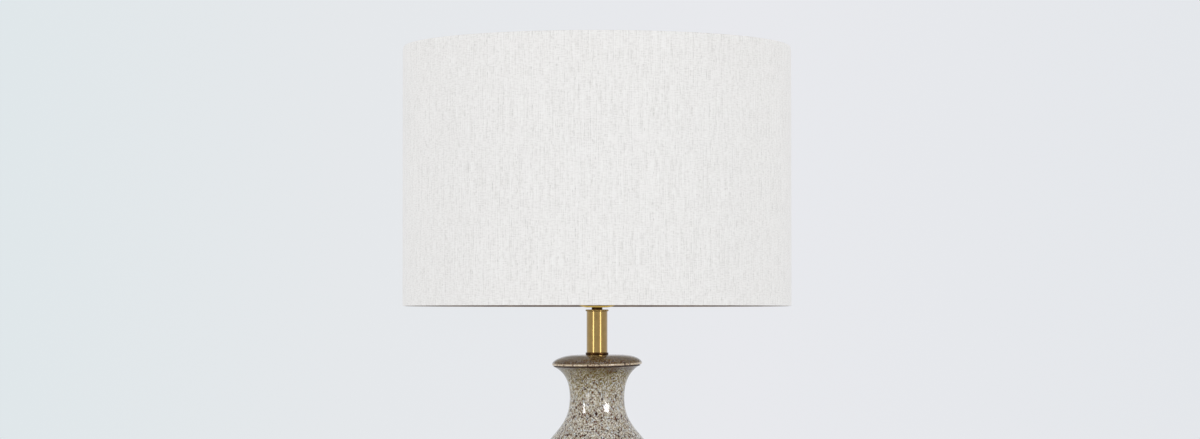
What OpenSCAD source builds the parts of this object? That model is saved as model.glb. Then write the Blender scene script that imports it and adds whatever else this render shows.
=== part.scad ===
// Ceramic table lamp with a linen drum shade, in millimetres.
// The lamp stands on z = 0, its axis is Z, and its front faces -Y.
// A threaded rod clamps the stack from the nut under the foot to the socket.
// The harp holds the shade, which turns on a stud below the finial.

/* [Ceramic base] */
// Height of the ceramic from its foot to the flat that carries the neck
base_h = 362; // [320:1:420]
// Wall of the ceramic
base_wall = 7; // [5:0.5:10]
// Width of the belly at its widest
belly_d = 236; // [200:1:260]
// Height of the widest part of the belly above the foot
belly_h = 150; // [125:1:175]
// Width of the foot ring
foot_d = 136; // [120:1:150]
// Wall of the foot ring, round the recess
foot_wall = 13; // [10:0.5:18]
// Depth of the recess
recess_h = 20; // [16:1:30]
// Thickness of the floor that the rod is clamped to
floor_t = 10; // [8:1:14]
// Width of the waist of the neck
waist_d = 57.2; // [48:0.2:64]
// Depth of the waist below the top
waist_drop = 44.5; // [40:0.5:52]
// Width of the flange at its lip
flange_d = 94.4; // [86:0.2:104]
// Depth of the lip below the top, at its widest
lip_drop = 8.8; // [7:0.1:11]
// Height of the lip's edge
lip_h = 2.4; // [2:0.1:4]
// Width of the flat on top of the flange
top_flat_d = 48; // [40:1:56]
// Hole for the rod in the ceramic
rod_hole_d = 12; // [11:0.5:14]

/* [Foot and cord inlet] */
// Thickness of the felt under the foot
felt_t = 2; // [1.5:0.5:4]
// How far the felt stays inside the edges of the foot ring
felt_margin = 1.5; // [1:0.5:3]
// Hole for the cord bushing
inlet_d = 11; // [9:0.5:12]
// Height of the cord inlet above the foot
inlet_h = 10; // [9:0.5:12]
// Bore of the cord bushing
bushing_bore_d = 7.5; // [6:0.5:8]
// Width of the flange of the cord bushing
bushing_flange_d = 15; // [13:0.5:17]
// Thickness of the flange of the cord bushing
bushing_flange_t = 2; // [1.5:0.5:3]

/* [Rod and lower fastening] */
// Outer diameter of the threaded rod
rod_d = 9.7; // [9:0.1:10.3]
// Bore of the threaded rod
rod_bore_d = 6.5; // [5.5:0.1:7]
// How far the rod shows below the nut
rod_tail = 4; // [2:0.5:5]
// Width of the rubber washer
rubber_washer_d = 30; // [24:1:36]
// Thickness of the rubber washer
rubber_washer_t = 2; // [1.5:0.5:3]
// Width of the steel washer
steel_washer_d = 38; // [30:1:44]
// Thickness of the steel washer
steel_washer_t = 1.6; // [1.2:0.1:2]
// Width of the lock washer
lock_washer_d = 16; // [14.5:0.5:18]
// Thickness of the lock washer
lock_washer_t = 1.6; // [1.2:0.1:2]
// Width of the hexagonal nut across its flats
nut_flats = 14.3; // [13:0.1:16]
// Thickness of the nut
nut_t = 4.8; // [4:0.1:6]

/* [Brass neck] */
// Width of the ring under the neck tube
seat_ring_d = 23.8; // [23:0.1:28]
// Height of the ring under the neck tube
seat_ring_h = 2.4; // [2:0.1:4]
// Outer diameter of the neck tube
neck_tube_d = 22; // [19:0.1:22.5]
// Wall of the neck tube
neck_tube_wall = 1; // [0.8:0.1:1.5]
// Length of the neck tube
neck_tube_h = 43.1; // [36:0.1:60]
// Width of the lip of the neck cap
neck_cap_d = 24.3; // [23:0.1:28]
// Height of the lip of the neck cap
neck_cap_h = 1.9; // [1.5:0.1:3]
// Depth of the spigots of the ring and the cap inside the tube
spigot_h = 4; // [2:0.5:6]
// Outer diameter of the collar under the saddle
collar_d = 11.3; // [11.1:0.1:14]
// Height of the collar under the saddle
collar_h = 2.2; // [1.5:0.1:4]

/* [Harp] */
// Distance between the two legs
harp_leg_span = 63.5; // [58:0.5:70]
// Width of the saddle strap
saddle_w = 12.5; // [11:0.5:15]
// Thickness of the saddle strap
saddle_t = 1.8; // [1.5:0.1:2.2]
// Half width of the flat in the middle of the saddle
saddle_flat = 9; // [8.5:0.5:12]
// Height of the shoulders of the saddle above its underside
shoulder_h = 30.4; // [28:0.1:36]
// Width of the shoulders that the ferrules stand on
shoulder_d = 5.6; // [5:0.1:6.5]
// Thickness of the shoulders
shoulder_t = 3; // [2:0.5:4]
// Length of the ferrules
ferrule_h = 14; // [10:0.5:18]
// Outer diameter of the ferrules
ferrule_d = 6.4; // [5.6:0.1:7.5]
// How far a ferrule slides up to free a leg
ferrule_travel = 12; // [11.5:0.5:16]
// Length of the half lap between a saddle post and a leg
lap_h = 8; // [6:0.5:9]
// Diameter of the harp wire
harp_wire_d = 3.2; // [2.8:0.1:3.8]
// Height of the harp from the feet of its legs to the face of its seat
harp_h = 204; // [190:1:225]
// Angle at which the legs spread above the straight part
spread_angle = 28; // [22:1:32]
// Radius of the bend where the legs spread
spread_r = 45; // [35:1:55]
// Radius of the upper bends
shoulder_bend_r = 26; // [20:1:30]
// Half length of the straight wire below the seat
harp_flat = 8.8; // [7.5:0.1:11]
// Width of the seat disc
seat_d = 22; // [18:0.5:26]
// Thickness of the seat disc
seat_t = 2; // [1.5:0.1:3]
// Width of the boss that holds the wire
boss_d = 14; // [12:0.5:15]
// Height of the boss
boss_h = 6; // [5:0.1:8]
// Diameter of the stud
stud_d = 6.35; // [6:0.05:6.5]
// Length of the stud above the seat
stud_h = 13; // [11:0.5:14]

/* [Socket] */
// Outer diameter of the socket cap
socket_cap_d = 34.4; // [33.6:0.1:37]
// Wall of the socket cap
socket_cap_wall = 0.9; // [0.7:0.1:1.1]
// Width of the hub of the socket cap
cap_hub_d = 15.2; // [14:0.1:17]
// Height of the hub of the socket cap
cap_hub_h = 6; // [5:0.5:8]
// Height of the thread inside the hub
cap_thread_h = 8; // [7:0.5:9]
// Height of the dome of the socket cap
cap_dome_h = 9; // [8:0.5:12]
// Height of the straight skirt of the socket cap
cap_skirt_h = 7; // [6.5:0.5:10]
// Diameter of the set screw in the hub
set_screw_d = 3; // [2.5:0.1:3.5]
// Wall of the socket shell
shell_wall = 0.7; // [0.5:0.1:0.9]
// Height of the socket shell
shell_h = 48; // [47.5:0.5:52]
// Depth of the shell inside the cap
shell_lap = 6; // [4:0.5:6]
// Height of the bead on the shell
bead_h = 2.4; // [2:0.1:3]
// Wall of the insulating sleeve
liner_wall = 0.8; // [0.6:0.1:0.9]
// How far the sleeve shows above the shell
liner_rise = 1; // [0.5:0.5:2]
// Height of the insulating body of the socket
insulator_h = 22; // [21:0.5:23]
// Thickness of the sheet of the two screw shells
screw_sheet_t = 0.4; // [0.3:0.05:0.45]
// Height of the socket's screw shell
screw_shell_h = 24; // [22:0.5:24]
// Height of the spring contact
contact_h = 3.4; // [3:0.1:4]

/* [Switch] */
// Diameter of the switch shaft
switch_shaft_d = 4; // [3.5:0.1:4.5]
// Height of the switch above the bottom of the insulating body
switch_h = 13; // [12:0.5:14]
// Outer diameter of the switch collar
switch_collar_d = 9; // [8:0.1:10]
// Width of the knob
knob_d = 13; // [11:0.5:16]
// Length of the knob
knob_l = 15; // [12:0.5:20]
// Number of flutes on the knob
knob_flutes = 14; // [10:1:16]

/* [Bulb] */
// Width of the bulb
bulb_d = 60; // [55:0.5:66]
// Length of the bulb from its tip contact to its top
bulb_h = 110; // [104:0.5:120]
// Length of the metal cap with the tip
bulb_cap_h = 26; // [25.5:0.1:28]
// Outer diameter of the bulb's thread
thread_d = 26; // [25.6:0.1:26.2]
// Depth of the rolled thread
thread_depth = 0.7; // [0.5:0.05:0.8]
// Pitch of the rolled thread
thread_pitch = 3.629; // [3.4:0.001:3.8]
// Height of the opal dome
dome_h = 46; // [42:0.5:50]
// Wall of the opal dome
dome_wall = 1.2; // [1:0.1:2]
// Wall of the plastic housing
housing_wall = 1.6; // [1.2:0.1:2]

/* [Shade] */
// Width of the shade
shade_d = 406.4; // [380:0.2:430]
// Height of the linen
shade_h = 270.7; // [250:0.1:290]
// Thickness of the linen
linen_t = 0.6; // [0.5:0.1:1]
// Thickness of the stiff lining
lining_t = 0.6; // [0.5:0.1:1.2]
// Height of the hems inside
hem_h = 9; // [6:0.5:14]
// Diameter of the ring wire
ring_wire_d = 3.2; // [2.8:0.1:4]
// How far the bottom ring shows below the linen
ring_drop = 0.2; // [0:0.1:1.5]
// Depth of the seat of the hub below the top edge
shade_recess = 30.8; // [24:0.1:34]
// Diameter of the spider wire
spider_wire_d = 2.8; // [2.4:0.1:3]
// Radius of the bends of the spider
spider_bend_r = 6; // [4:0.5:8]
// Number of arms
spider_arm_count = 3; // [3:1:4]
// Width of the hub
hub_d = 25; // [22.5:0.5:30]
// Thickness of the hub
hub_t = 3.2; // [3.1:0.1:4]
// Hole of the hub
hub_hole_d = 7; // [6.8:0.1:7.5]

/* [Finial] */
// Height of the finial
finial_h = 28; // [25:0.5:34]
// Width of the ball
finial_ball_d = 18; // [14:0.5:20]
// Width of the foot of the finial
finial_foot_d = 14; // [12:0.5:18]
// Depth of the finial's bore
finial_bore_h = 11; // [11:0.5:12]

/* [Clearances] */
// Radial clearance of the plain holes round the rod
rod_fit = 0.1; // [0.05:0.05:0.2]
// Radial clearance of the ferrules on the wire
ferrule_fit = 0.1; // [0.05:0.05:0.2]
// Radial clearance of the finial on the stud
stud_fit = 0.1; // [0.05:0.05:0.2]
// Radial clearance of the switch shaft
shaft_fit = 0.1; // [0.05:0.05:0.2]
// Radial clearance between the bulb's thread and the socket's
thread_fit = 0.35; // [0.3:0.05:0.4]
// Radial clearance of the socket shell in its cap
shell_fit = 0.1; // [0.05:0.05:0.2]

/* [Hidden] */
$fn = 96;

// Overshoot of cutting tools past the face they cut
eps = 1;

// Heights up the stack, and the recess under the foot
recess_d = foot_d - 2*foot_wall;
foot_z = felt_t;
recess_z = foot_z + recess_h;
floor_z = recess_z + floor_t;
seat_z = foot_z + base_h;
neck_z = seat_z + seat_ring_h;
neck_top_z = neck_z + neck_tube_h;
collar_z = neck_top_z + neck_cap_h;
saddle_z = collar_z + collar_h;
socket_z = saddle_z + saddle_t;

// Heights below the floor of the ceramic
rubber_z = recess_z - rubber_washer_t;
steel_z = rubber_z - steel_washer_t;
lock_z = steel_z - lock_washer_t;
nut_z = lock_z - nut_t;
rod_z = nut_z - rod_tail;

// Heights of the harp
harp_x = harp_leg_span/2;
shoulder_z = saddle_z + shoulder_h;
joint_z = shoulder_z + ferrule_h/2;
lap_z = joint_z - lap_h/2;
lap_top_z = joint_z + lap_h/2;
straight_z = shoulder_z + ferrule_h + ferrule_travel + 1;
hub_z = joint_z + harp_h;
wire_top_z = hub_z - seat_t - boss_h/2;

// Heights of the socket and the bulb
cap_rim_z = socket_z + cap_hub_h + cap_dome_h + cap_skirt_h;
shell_z = cap_rim_z - shell_lap;
shell_top_z = shell_z + shell_h;
insulator_z = shell_z + 1;
insulator_top_z = insulator_z + insulator_h;
bulb_z = insulator_top_z + contact_h;
bulb_top_z = bulb_z + bulb_h;
bulb_cap_z = bulb_z + bulb_cap_h;
dome_z = bulb_top_z - dome_h;
switch_z = insulator_z + switch_h;

// Radii of the socket, from the outside in
shell_r = socket_cap_d/2 - socket_cap_wall - shell_fit;
liner_r = shell_r - shell_wall;
insulator_r = liner_r - liner_wall;
bulb_thread_r = thread_d/2 - thread_depth/2;
screw_shell_r = bulb_thread_r + thread_fit;
switch_flat_y = insulator_r - 1.4;

// Heights and radii of the shade
shade_top_z = hub_z + shade_recess;
shade_z = shade_top_z - shade_h;
shade_r = shade_d/2;
lining_r = shade_r - linen_t;
hem_r = lining_r - lining_t;
ring_r = hem_r - linen_t - ring_wire_d/2;
top_ring_z = shade_top_z - linen_t - ring_wire_d/2;
bottom_ring_z = shade_z - ring_drop + ring_wire_d/2;
spider_z = hub_z + hub_t/2;
finial_z = hub_z + hub_t;

// Colours as the photograph shows them
ceramic_colour = "#A49C8C";
brass_colour = "#A0834C";
bronze_colour = "#3A2A18";
linen_colour = "#E9E7E4";
steel_colour = "#9C9C98";
black_colour = "#26241F";
opal_colour = "#F2F0EA";

// Point on a cubic curve, and the same point moved by d to the left of its way
function cubic(p, t) = pow(1 - t, 3)*p[0] + 3*pow(1 - t, 2)*t*p[1]
    + 3*(1 - t)*t*t*p[2] + pow(t, 3)*p[3];
function cubic_way(p, t) = pow(1 - t, 2)*(p[1] - p[0]) + 2*(1 - t)*t*(p[2] - p[1])
    + t*t*(p[3] - p[2]);
function cubic_beside(p, t, d) = let (w = cubic_way(p, t)) cubic(p, t) + d*[w[1], -w[0]]/norm(w);
function curve(p, n, d = 0, first = 0, last = 1) =
    [for (i = [0:n]) cubic_beside(p, first + (last - first)*i/n, d)];
function back(points) = [for (i = [len(points) - 1:-1:0]) points[i]];
function mix(a, b, t) = a + (b - a)*t;

// Curves of the ceramic, from the top down
lip_z = seat_z - lip_drop;
under_lip_z = lip_z - lip_h - 1.2;
waist_z = seat_z - waist_drop;
belly_z = foot_z + belly_h;
shoulder_top_z = waist_z - 56.7;
shoulder_top_r = waist_d/2 + 31.4;
foot_edge = 4;
flange_curve = [[top_flat_d/2, seat_z], [mix(top_flat_d, flange_d, 0.39)/2, seat_z],
    [flange_d/2 - 2.7, seat_z - lip_drop*0.33], [flange_d/2, lip_z]];
flare_curve = [[flange_d/2 - 3.6, under_lip_z], [waist_d/2 + 8.1, mix(under_lip_z, waist_z, 0.137)],
    [waist_d/2, mix(under_lip_z, waist_z, 0.37)], [waist_d/2, waist_z]];
throat_curve = [[waist_d/2, waist_z], [waist_d/2, mix(waist_z, shoulder_top_z, 0.453)],
    [mix(waist_d/2, shoulder_top_r, 0.395), mix(waist_z, shoulder_top_z, 0.568)],
    [shoulder_top_r, shoulder_top_z]];
shoulder_way = throat_curve[3] - throat_curve[2];
shoulder_curve = [throat_curve[3], throat_curve[3] + 1.45*shoulder_way,
    [belly_d/2, mix(belly_z, shoulder_top_z, 0.36)], [belly_d/2, belly_z]];
belly_curve = [[belly_d/2, belly_z], [belly_d/2, mix(belly_z, foot_z, 0.34)],
    [mix(belly_d, foot_d, 0.44)/2, mix(belly_z, foot_z, 0.74)], [foot_d/2, foot_z + foot_edge]];

// The inner belly stops where it meets the floor
function belly_stop(t) = cubic_beside(belly_curve, t, base_wall)[1] < floor_z + 2 ? t
    : belly_stop(t + 0.01);
belly_end = belly_stop(0.3);

module revolve(points) {
    rotate_extrude() polygon(points);
}

module ring(outer_d, inner_d, z, h) {
    translate([0, 0, z]) difference() {
        cylinder(d = outer_d, h = h);
        translate([0, 0, -eps]) cylinder(d = inner_d, h = h + 2*eps);
    }
}

// Outline of a rolled thread of mean radius r, between z0 and z1
function thread_points(r, z0, z1) = let (n = ceil(8*(z1 - z0)/thread_pitch))
    [for (i = [0:n]) let (z = mix(z0, z1, i/n))
        [r + thread_depth/2*cos(360*(z - bulb_cap_z)/thread_pitch), z]];

// Part of a falling outline above a height, and the part below it
function steps_above(points, z) = len([for (p = points) if (p[1] > z) 1]);
function at_height(points, z) = let (n = steps_above(points, z), a = points[n - 1], b = points[n])
    mix(a, b, (a[1] - z)/(a[1] - b[1]));
function above(points, z) = concat([for (i = [0:steps_above(points, z) - 1]) points[i]],
    [at_height(points, z)]);
function below(points, z) = concat([at_height(points, z)],
    [for (i = [steps_above(points, z):len(points) - 1]) points[i]]);

// Outside of the ceramic, from its seat down to the foot ring
ceramic_outside = concat(curve(flange_curve, 9), [[flange_d/2 - 0.8, lip_z - lip_h*0.55],
    [flange_d/2 - 2.1, lip_z - lip_h]], curve(flare_curve, 12),
    curve(throat_curve, 13, 0, 1/13), curve(shoulder_curve, 13, 0, 1/13),
    curve(belly_curve, 13, 0, 1/13), [[foot_d/2 - 1.5, foot_z + 1], [foot_d/2 - 3, foot_z]]);

// Turned ceramic with the hole for the cord bushing and its spot face
module ceramic(points) {
    color(ceramic_colour) difference() {
        revolve(points);
        inlet(inlet_d, recess_d/2 - 5, foot_d);
        inlet(bushing_flange_d + 0.4, foot_d/2, foot_d);
    }
}

// Hollow bottle, down to the underside of its floor
module ceramic_body() {
    inside = concat(curve(flare_curve, 8, base_wall, 0.15), curve(throat_curve, 9, base_wall, 1/9),
        curve(shoulder_curve, 9, base_wall, 1/9), curve(belly_curve, 8, base_wall, 1/9, belly_end));
    roof = inside[0];
    heel = inside[len(inside) - 1];
    ceramic(concat([[rod_hole_d/2, seat_z]], above(ceramic_outside, recess_z),
        [[rod_hole_d/2, recess_z], [rod_hole_d/2, floor_z], [heel[0] - 4, floor_z]],
        back(inside), [[rod_hole_d/2, roof[1]]]));
}

// Foot ring round the recess, in one with the body above it once fired
module ceramic_foot() {
    ceramic(concat([[recess_d/2, recess_z]], below(ceramic_outside, recess_z),
        [[recess_d/2, foot_z]]));
}

// Round bar along +Y at the height of the cord inlet
module inlet(d, y0, y1) {
    translate([0, y0, foot_z + inlet_h]) rotate([-90, 0, 0]) cylinder(d = d, h = y1 - y0);
}

module foot_felt() {
    color(black_colour) ring(foot_d - 6 - 2*felt_margin, recess_d + 2*felt_margin, 0, felt_t);
}

module cord_bushing() {
    inner_y = recess_d/2 - 1.5;
    color(black_colour) difference() {
        union() {
            inlet(inlet_d, inner_y, foot_d/2);
            inlet(bushing_flange_d, foot_d/2, foot_d/2 + bushing_flange_t);
        }
        inlet(bushing_bore_d, inner_y - eps, foot_d/2 + bushing_flange_t + eps);
    }
}

module threaded_rod() {
    color(steel_colour) ring(rod_d, rod_bore_d, rod_z, socket_z + cap_thread_h - rod_z);
}

module rubber_washer() {
    color(black_colour) ring(rubber_washer_d, rod_d + 2*rod_fit, rubber_z, rubber_washer_t);
}

module bottom_washer() {
    color(steel_colour) ring(steel_washer_d, rod_d + 2*rod_fit, steel_z, steel_washer_t);
}

// Split spring washer
module bottom_lock_washer() {
    color(steel_colour) difference() {
        ring(lock_washer_d, rod_d + 2*rod_fit, lock_z, lock_washer_t);
        translate([0, -0.6, lock_z - eps])
            cube([lock_washer_d, 1.2, lock_washer_t + 2*eps]);
    }
}

module bottom_nut() {
    color(steel_colour) translate([0, 0, nut_z]) difference() {
        cylinder(d = nut_flats/cos(30), h = nut_t, $fn = 6);
        translate([0, 0, -eps]) cylinder(d = rod_d, h = nut_t + 2*eps);
    }
}

module seat_ring() {
    spigot_r = neck_tube_d/2 - neck_tube_wall;
    color(bronze_colour) revolve([[rod_d/2 + rod_fit, seat_z], [seat_ring_d/2 - 0.5, seat_z],
        [seat_ring_d/2, seat_z + 0.5], [seat_ring_d/2, neck_z - 0.4], [seat_ring_d/2 - 0.4, neck_z],
        [spigot_r, neck_z], [spigot_r, neck_z + spigot_h], [rod_d/2 + rod_fit, neck_z + spigot_h]]);
}

module neck_tube() {
    color(brass_colour) ring(neck_tube_d, neck_tube_d - 2*neck_tube_wall, neck_z, neck_tube_h);
}

module neck_cap() {
    spigot_r = neck_tube_d/2 - neck_tube_wall;
    color(brass_colour) revolve([[rod_d/2 + rod_fit, neck_top_z - spigot_h],
        [spigot_r, neck_top_z - spigot_h], [spigot_r, neck_top_z], [neck_cap_d/2 - 0.4, neck_top_z],
        [neck_cap_d/2, neck_top_z + 0.4], [neck_cap_d/2, collar_z - 0.7],
        [neck_cap_d/2 - 0.7, collar_z], [rod_d/2 + rod_fit, collar_z]]);
}

module neck_collar() {
    color(bronze_colour) ring(collar_d, rod_d + 2*rod_fit, collar_z, collar_h);
}

// Right half of the saddle strap, seen from the front
module saddle_half() {
    bend_r = harp_x + saddle_t/2 - saddle_flat;
    translate([-eps, 0]) square([saddle_flat + eps, saddle_t]);
    translate([saddle_flat, bend_r]) intersection() {
        difference() {
            circle(r = bend_r);
            circle(r = bend_r - saddle_t);
        }
        translate([0, -bend_r]) square([bend_r, bend_r]);
    }
    translate([harp_x - saddle_t/2, bend_r])
        square([saddle_t, shoulder_h - shoulder_t + 1 - bend_r]);
}

module harp_saddle() {
    color(brass_colour) {
        difference() {
            translate([0, saddle_w/2, saddle_z]) rotate([90, 0, 0]) linear_extrude(saddle_w)
                union() {
                    saddle_half();
                    mirror([1, 0]) saddle_half();
                }
            translate([0, 0, saddle_z - eps]) cylinder(d = rod_d + 2*rod_fit, h = saddle_t + 2*eps);
            for (side = [-1, 1]) saddle_corners(side);
        }
        for (side = [-1, 1]) translate([side*harp_x, 0, shoulder_z - shoulder_t]) {
            cylinder(d = shoulder_d, h = shoulder_t);
            difference() {
                cylinder(d = harp_wire_d, h = lap_top_z - shoulder_z + shoulder_t);
                translate([-harp_wire_d, 0, lap_z - shoulder_z + shoulder_t])
                    cube([2*harp_wire_d, harp_wire_d, 2*lap_h]);
            }
        }
    }
}

// The strap narrows to the width of the shoulder at its ends
module saddle_corners(side) {
    taper_z = shoulder_z - shoulder_t - 6;
    for (way = [-1, 1]) translate([side*harp_x, 0, taper_z]) rotate([0, -90, 0])
        translate([0, 0, -saddle_t]) linear_extrude(2*saddle_t)
            polygon([[0, way*(saddle_w/2 + 0.01)], [8, way*(saddle_w/2 + 0.01)],
                [8, way*shoulder_d/2], [6, way*shoulder_d/2]]);
}

// Arcs of one half of the harp: the leg spreads, bows and bends in under the seat
spread_x = harp_x + spread_r*(1 - cos(spread_angle));
spread_z = straight_z + spread_r*sin(spread_angle);
bow_dx = spread_x - harp_flat;
bow_dz = wire_top_z - shoulder_bend_r - spread_z;
bow_r = (bow_dx*bow_dx + bow_dz*bow_dz - shoulder_bend_r*shoulder_bend_r)
    / (2*(bow_dx*cos(spread_angle) + bow_dz*sin(spread_angle) - shoulder_bend_r));
bow_x = spread_x - bow_r*cos(spread_angle);
bow_z = spread_z + bow_r*sin(spread_angle);
bow_end = atan2(wire_top_z - shoulder_bend_r - bow_z, harp_flat - bow_x);

// Places along the harp's wire, each [x, z, heading], from the foot of the right leg to the left
function arc_stations(x, z, r, from, to, turn, n) = [for (i = [0:n]) let (a = mix(from, to, i/n))
    [x + r*cos(a), z + r*sin(a), a + turn]];
half_stations = concat([[harp_x, lap_z, 90]],
    arc_stations(harp_x + spread_r, straight_z, spread_r, 180, 180 - spread_angle, -90, 5),
    [for (i = [1:12]) arc_stations(bow_x, bow_z, bow_r, -spread_angle, bow_end, 90, 12)[i]],
    [for (i = [1:8]) arc_stations(harp_flat, wire_top_z - shoulder_bend_r, shoulder_bend_r,
        bow_end, 90, 90, 8)[i]]);
harp_stations = concat(half_stations, [for (s = back(half_stations)) [-s[0], s[1], -s[2]]]);

// Wire with a round section along stations in the XZ plane
module bent_wire(stations, d, sides = 12) {
    n = len(stations);
    points = [for (s = stations, k = [0:sides - 1]) let (across = d/2*cos(360*k/sides))
        [s[0] - across*sin(s[2]), d/2*sin(360*k/sides), s[1] + across*cos(s[2])]];
    walls = [for (i = [0:n - 2], k = [0:sides - 1]) let (a = i*sides + k,
        b = i*sides + (k + 1)%sides, c = a + sides, e = b + sides) each [[a, b, e], [a, e, c]]];
    polyhedron(points, concat(walls, [[for (k = [sides - 1:-1:0]) k],
        [for (k = [0:sides - 1]) (n - 1)*sides + k]]));
}

// Each leg ends in a half lap behind its saddle post
module harp_frame() {
    color(brass_colour) difference() {
        bent_wire(harp_stations, harp_wire_d);
        for (side = [-1, 1]) translate([side*harp_x - harp_wire_d, -harp_wire_d, lap_z - eps])
            cube([2*harp_wire_d, harp_wire_d, lap_h + eps]);
    }
}

module harp_seat() {
    color(brass_colour) difference() {
        union() {
            translate([0, 0, hub_z - seat_t - boss_h]) cylinder(d = boss_d, h = boss_h);
            translate([0, 0, hub_z - seat_t]) cylinder(d = seat_d, h = seat_t);
            translate([0, 0, hub_z]) cylinder(d = stud_d, h = stud_h);
        }
        translate([-boss_d, 0, wire_top_z]) rotate([0, 90, 0])
            cylinder(d = harp_wire_d, h = 2*boss_d, $fn = 32);
    }
}

// Turned sleeve with a bead at each end
module ferrule(x) {
    bore_r = harp_wire_d/2 + ferrule_fit;
    r = ferrule_d/2;
    color(brass_colour) translate([x, 0, shoulder_z]) revolve([[bore_r, 0], [r, 0], [r, 1.6],
        [r - 0.5, 2.2], [r - 0.5, ferrule_h - 2.2], [r, ferrule_h - 1.6], [r, ferrule_h - 0.4],
        [r - 0.4, ferrule_h], [bore_r, ferrule_h]]);
}

module ferrule_left() {
    ferrule(-harp_x);
}

module ferrule_right() {
    ferrule(harp_x);
}

// Bell of the socket cap, moved in by d
function bell(d) = let (z = socket_z + cap_hub_h + cap_dome_h, r = socket_cap_d/2 - d,
    foot = cap_hub_d/2, h = cap_dome_h - d)
    [for (a = [-90:10:0]) [foot + (r - foot)*cos(a), z + h*sin(a)]];

module socket_cap() {
    bore_r = rod_d/2;
    color(brass_colour) difference() {
        revolve(concat([[bore_r, socket_z], [cap_hub_d/2, socket_z]], bell(0),
            [[socket_cap_d/2, cap_rim_z], [socket_cap_d/2 - socket_cap_wall, cap_rim_z]],
            back(bell(socket_cap_wall)), [[cap_hub_d/2 - 1, socket_z + cap_thread_h],
            [bore_r, socket_z + cap_thread_h]]));
        set_screw_bar(set_screw_d, cap_hub_d);
    }
}

// Round bar along +Y through the hub, from the rod outwards
module set_screw_bar(d, l) {
    translate([0, rod_d/2 - 0.2, socket_z + cap_hub_h/2]) rotate([-90, 0, 0])
        cylinder(d = d, h = l, $fn = 32);
}

module socket_set_screw() {
    color(steel_colour) difference() {
        set_screw_bar(set_screw_d, 4);
        translate([0, 0, socket_z]) cylinder(d = rod_d, h = cap_hub_h);
        translate([-0.3, rod_d/2 + 3, socket_z]) cube([0.6, 3, cap_hub_h]);
    }
}

// Round bar along -Y at the height of the switch, from y0 out to y1
module switch_bar(d, y0, y1) {
    translate([0, -y0, switch_z]) rotate([90, 0, 0]) cylinder(d = d, h = y1 - y0);
}

module socket_shell() {
    inner_r = shell_r - shell_wall;
    bead_r = socket_cap_d/2;
    color(brass_colour) difference() {
        revolve([[inner_r, shell_z], [shell_r, shell_z], [shell_r, cap_rim_z], [bead_r, cap_rim_z],
            [bead_r + 0.3, cap_rim_z + bead_h/2], [bead_r, cap_rim_z + bead_h],
            [shell_r, cap_rim_z + bead_h + 0.6], [shell_r, shell_top_z - 3],
            [shell_r + 0.8, shell_top_z], [shell_r + 0.1, shell_top_z],
            [inner_r, shell_top_z - 3.2]]);
        switch_bar(switch_collar_d, 0, 2*shell_r);
    }
}

module socket_liner() {
    color("#6B4A2E") difference() {
        ring(2*liner_r, 2*insulator_r, shell_z, shell_h + liner_rise);
        switch_bar(switch_collar_d, 0, 2*shell_r);
    }
}

// Flats for the two terminals leave a full flange at the top
module socket_insulator() {
    flat_x = insulator_r - 3.4;
    flat_h = insulator_h - 5;
    color(black_colour) difference() {
        translate([0, 0, insulator_z]) cylinder(r = insulator_r, h = insulator_h);
        for (side = [-1, 1]) {
            translate([side > 0 ? flat_x : -flat_x - insulator_r, -insulator_r, insulator_z + 2])
                cube([insulator_r, 2*insulator_r, flat_h]);
            translate([side*(flat_x - 6), 0, switch_z - 5]) rotate([0, side*90, 0])
                cylinder(d = 3, h = 8, $fn = 32);
        }
        switch_bar(switch_collar_d + 3, switch_flat_y, 2*insulator_r);
        switch_bar(switch_shaft_d + 2*shaft_fit, 0, 2*insulator_r);
    }
}

module screw_shell() {
    z0 = insulator_top_z;
    z1 = insulator_top_z + screw_shell_h;
    inside = thread_points(screw_shell_r, z0 + 2, z1 - 1);
    outside = thread_points(screw_shell_r + screw_sheet_t, z0 + 2, z1 - 1);
    color(brass_colour) revolve(concat([[8, z0], [screw_shell_r + screw_sheet_t, z0]], outside,
        [[screw_shell_r + screw_sheet_t + 0.3, z1], [screw_shell_r + 0.3, z1]], back(inside),
        [[screw_shell_r, z0 + screw_sheet_t], [8, z0 + screw_sheet_t]]));
}

// Leaf spring in the middle of the socket, under the tip of the bulb
module centre_contact() {
    t = 0.5;
    color("#B08A4A") translate([0, 3, insulator_top_z]) rotate([90, 0, 0]) linear_extrude(6)
        polygon([[-6.5, 0], [-3, 0], [-1.5, contact_h - t], [2.5, contact_h - t],
            [4.5, contact_h - 1.6], [4.9, contact_h - 1.3], [2.8, contact_h], [-1.9, contact_h],
            [-3.4, t], [-6.5, t]]);
}

module terminal_screws() {
    flat_x = insulator_r - 3.4;
    color("#C9B26B") for (side = [-1, 1]) translate([side*flat_x, 0, switch_z - 5])
        rotate([0, side*90, 0]) difference() {
            union() {
                cylinder(d = 6.4, h = 2, $fn = 48);
                translate([0, 0, -5]) cylinder(d = 3, h = 5 + 1, $fn = 32);
            }
            translate([-4, -0.4, 1.2]) cube([8, 0.8, 2]);
        }
}

module switch_collar() {
    color(black_colour) difference() {
        switch_bar(switch_collar_d, switch_flat_y, shell_r + 1.5);
        switch_bar(switch_shaft_d + 2*shaft_fit, 0, 2*shell_r);
    }
}

module switch_shaft() {
    color("#B9A15D") switch_bar(switch_shaft_d, 3, shell_r + 1.8 + knob_l - 3);
}

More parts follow.
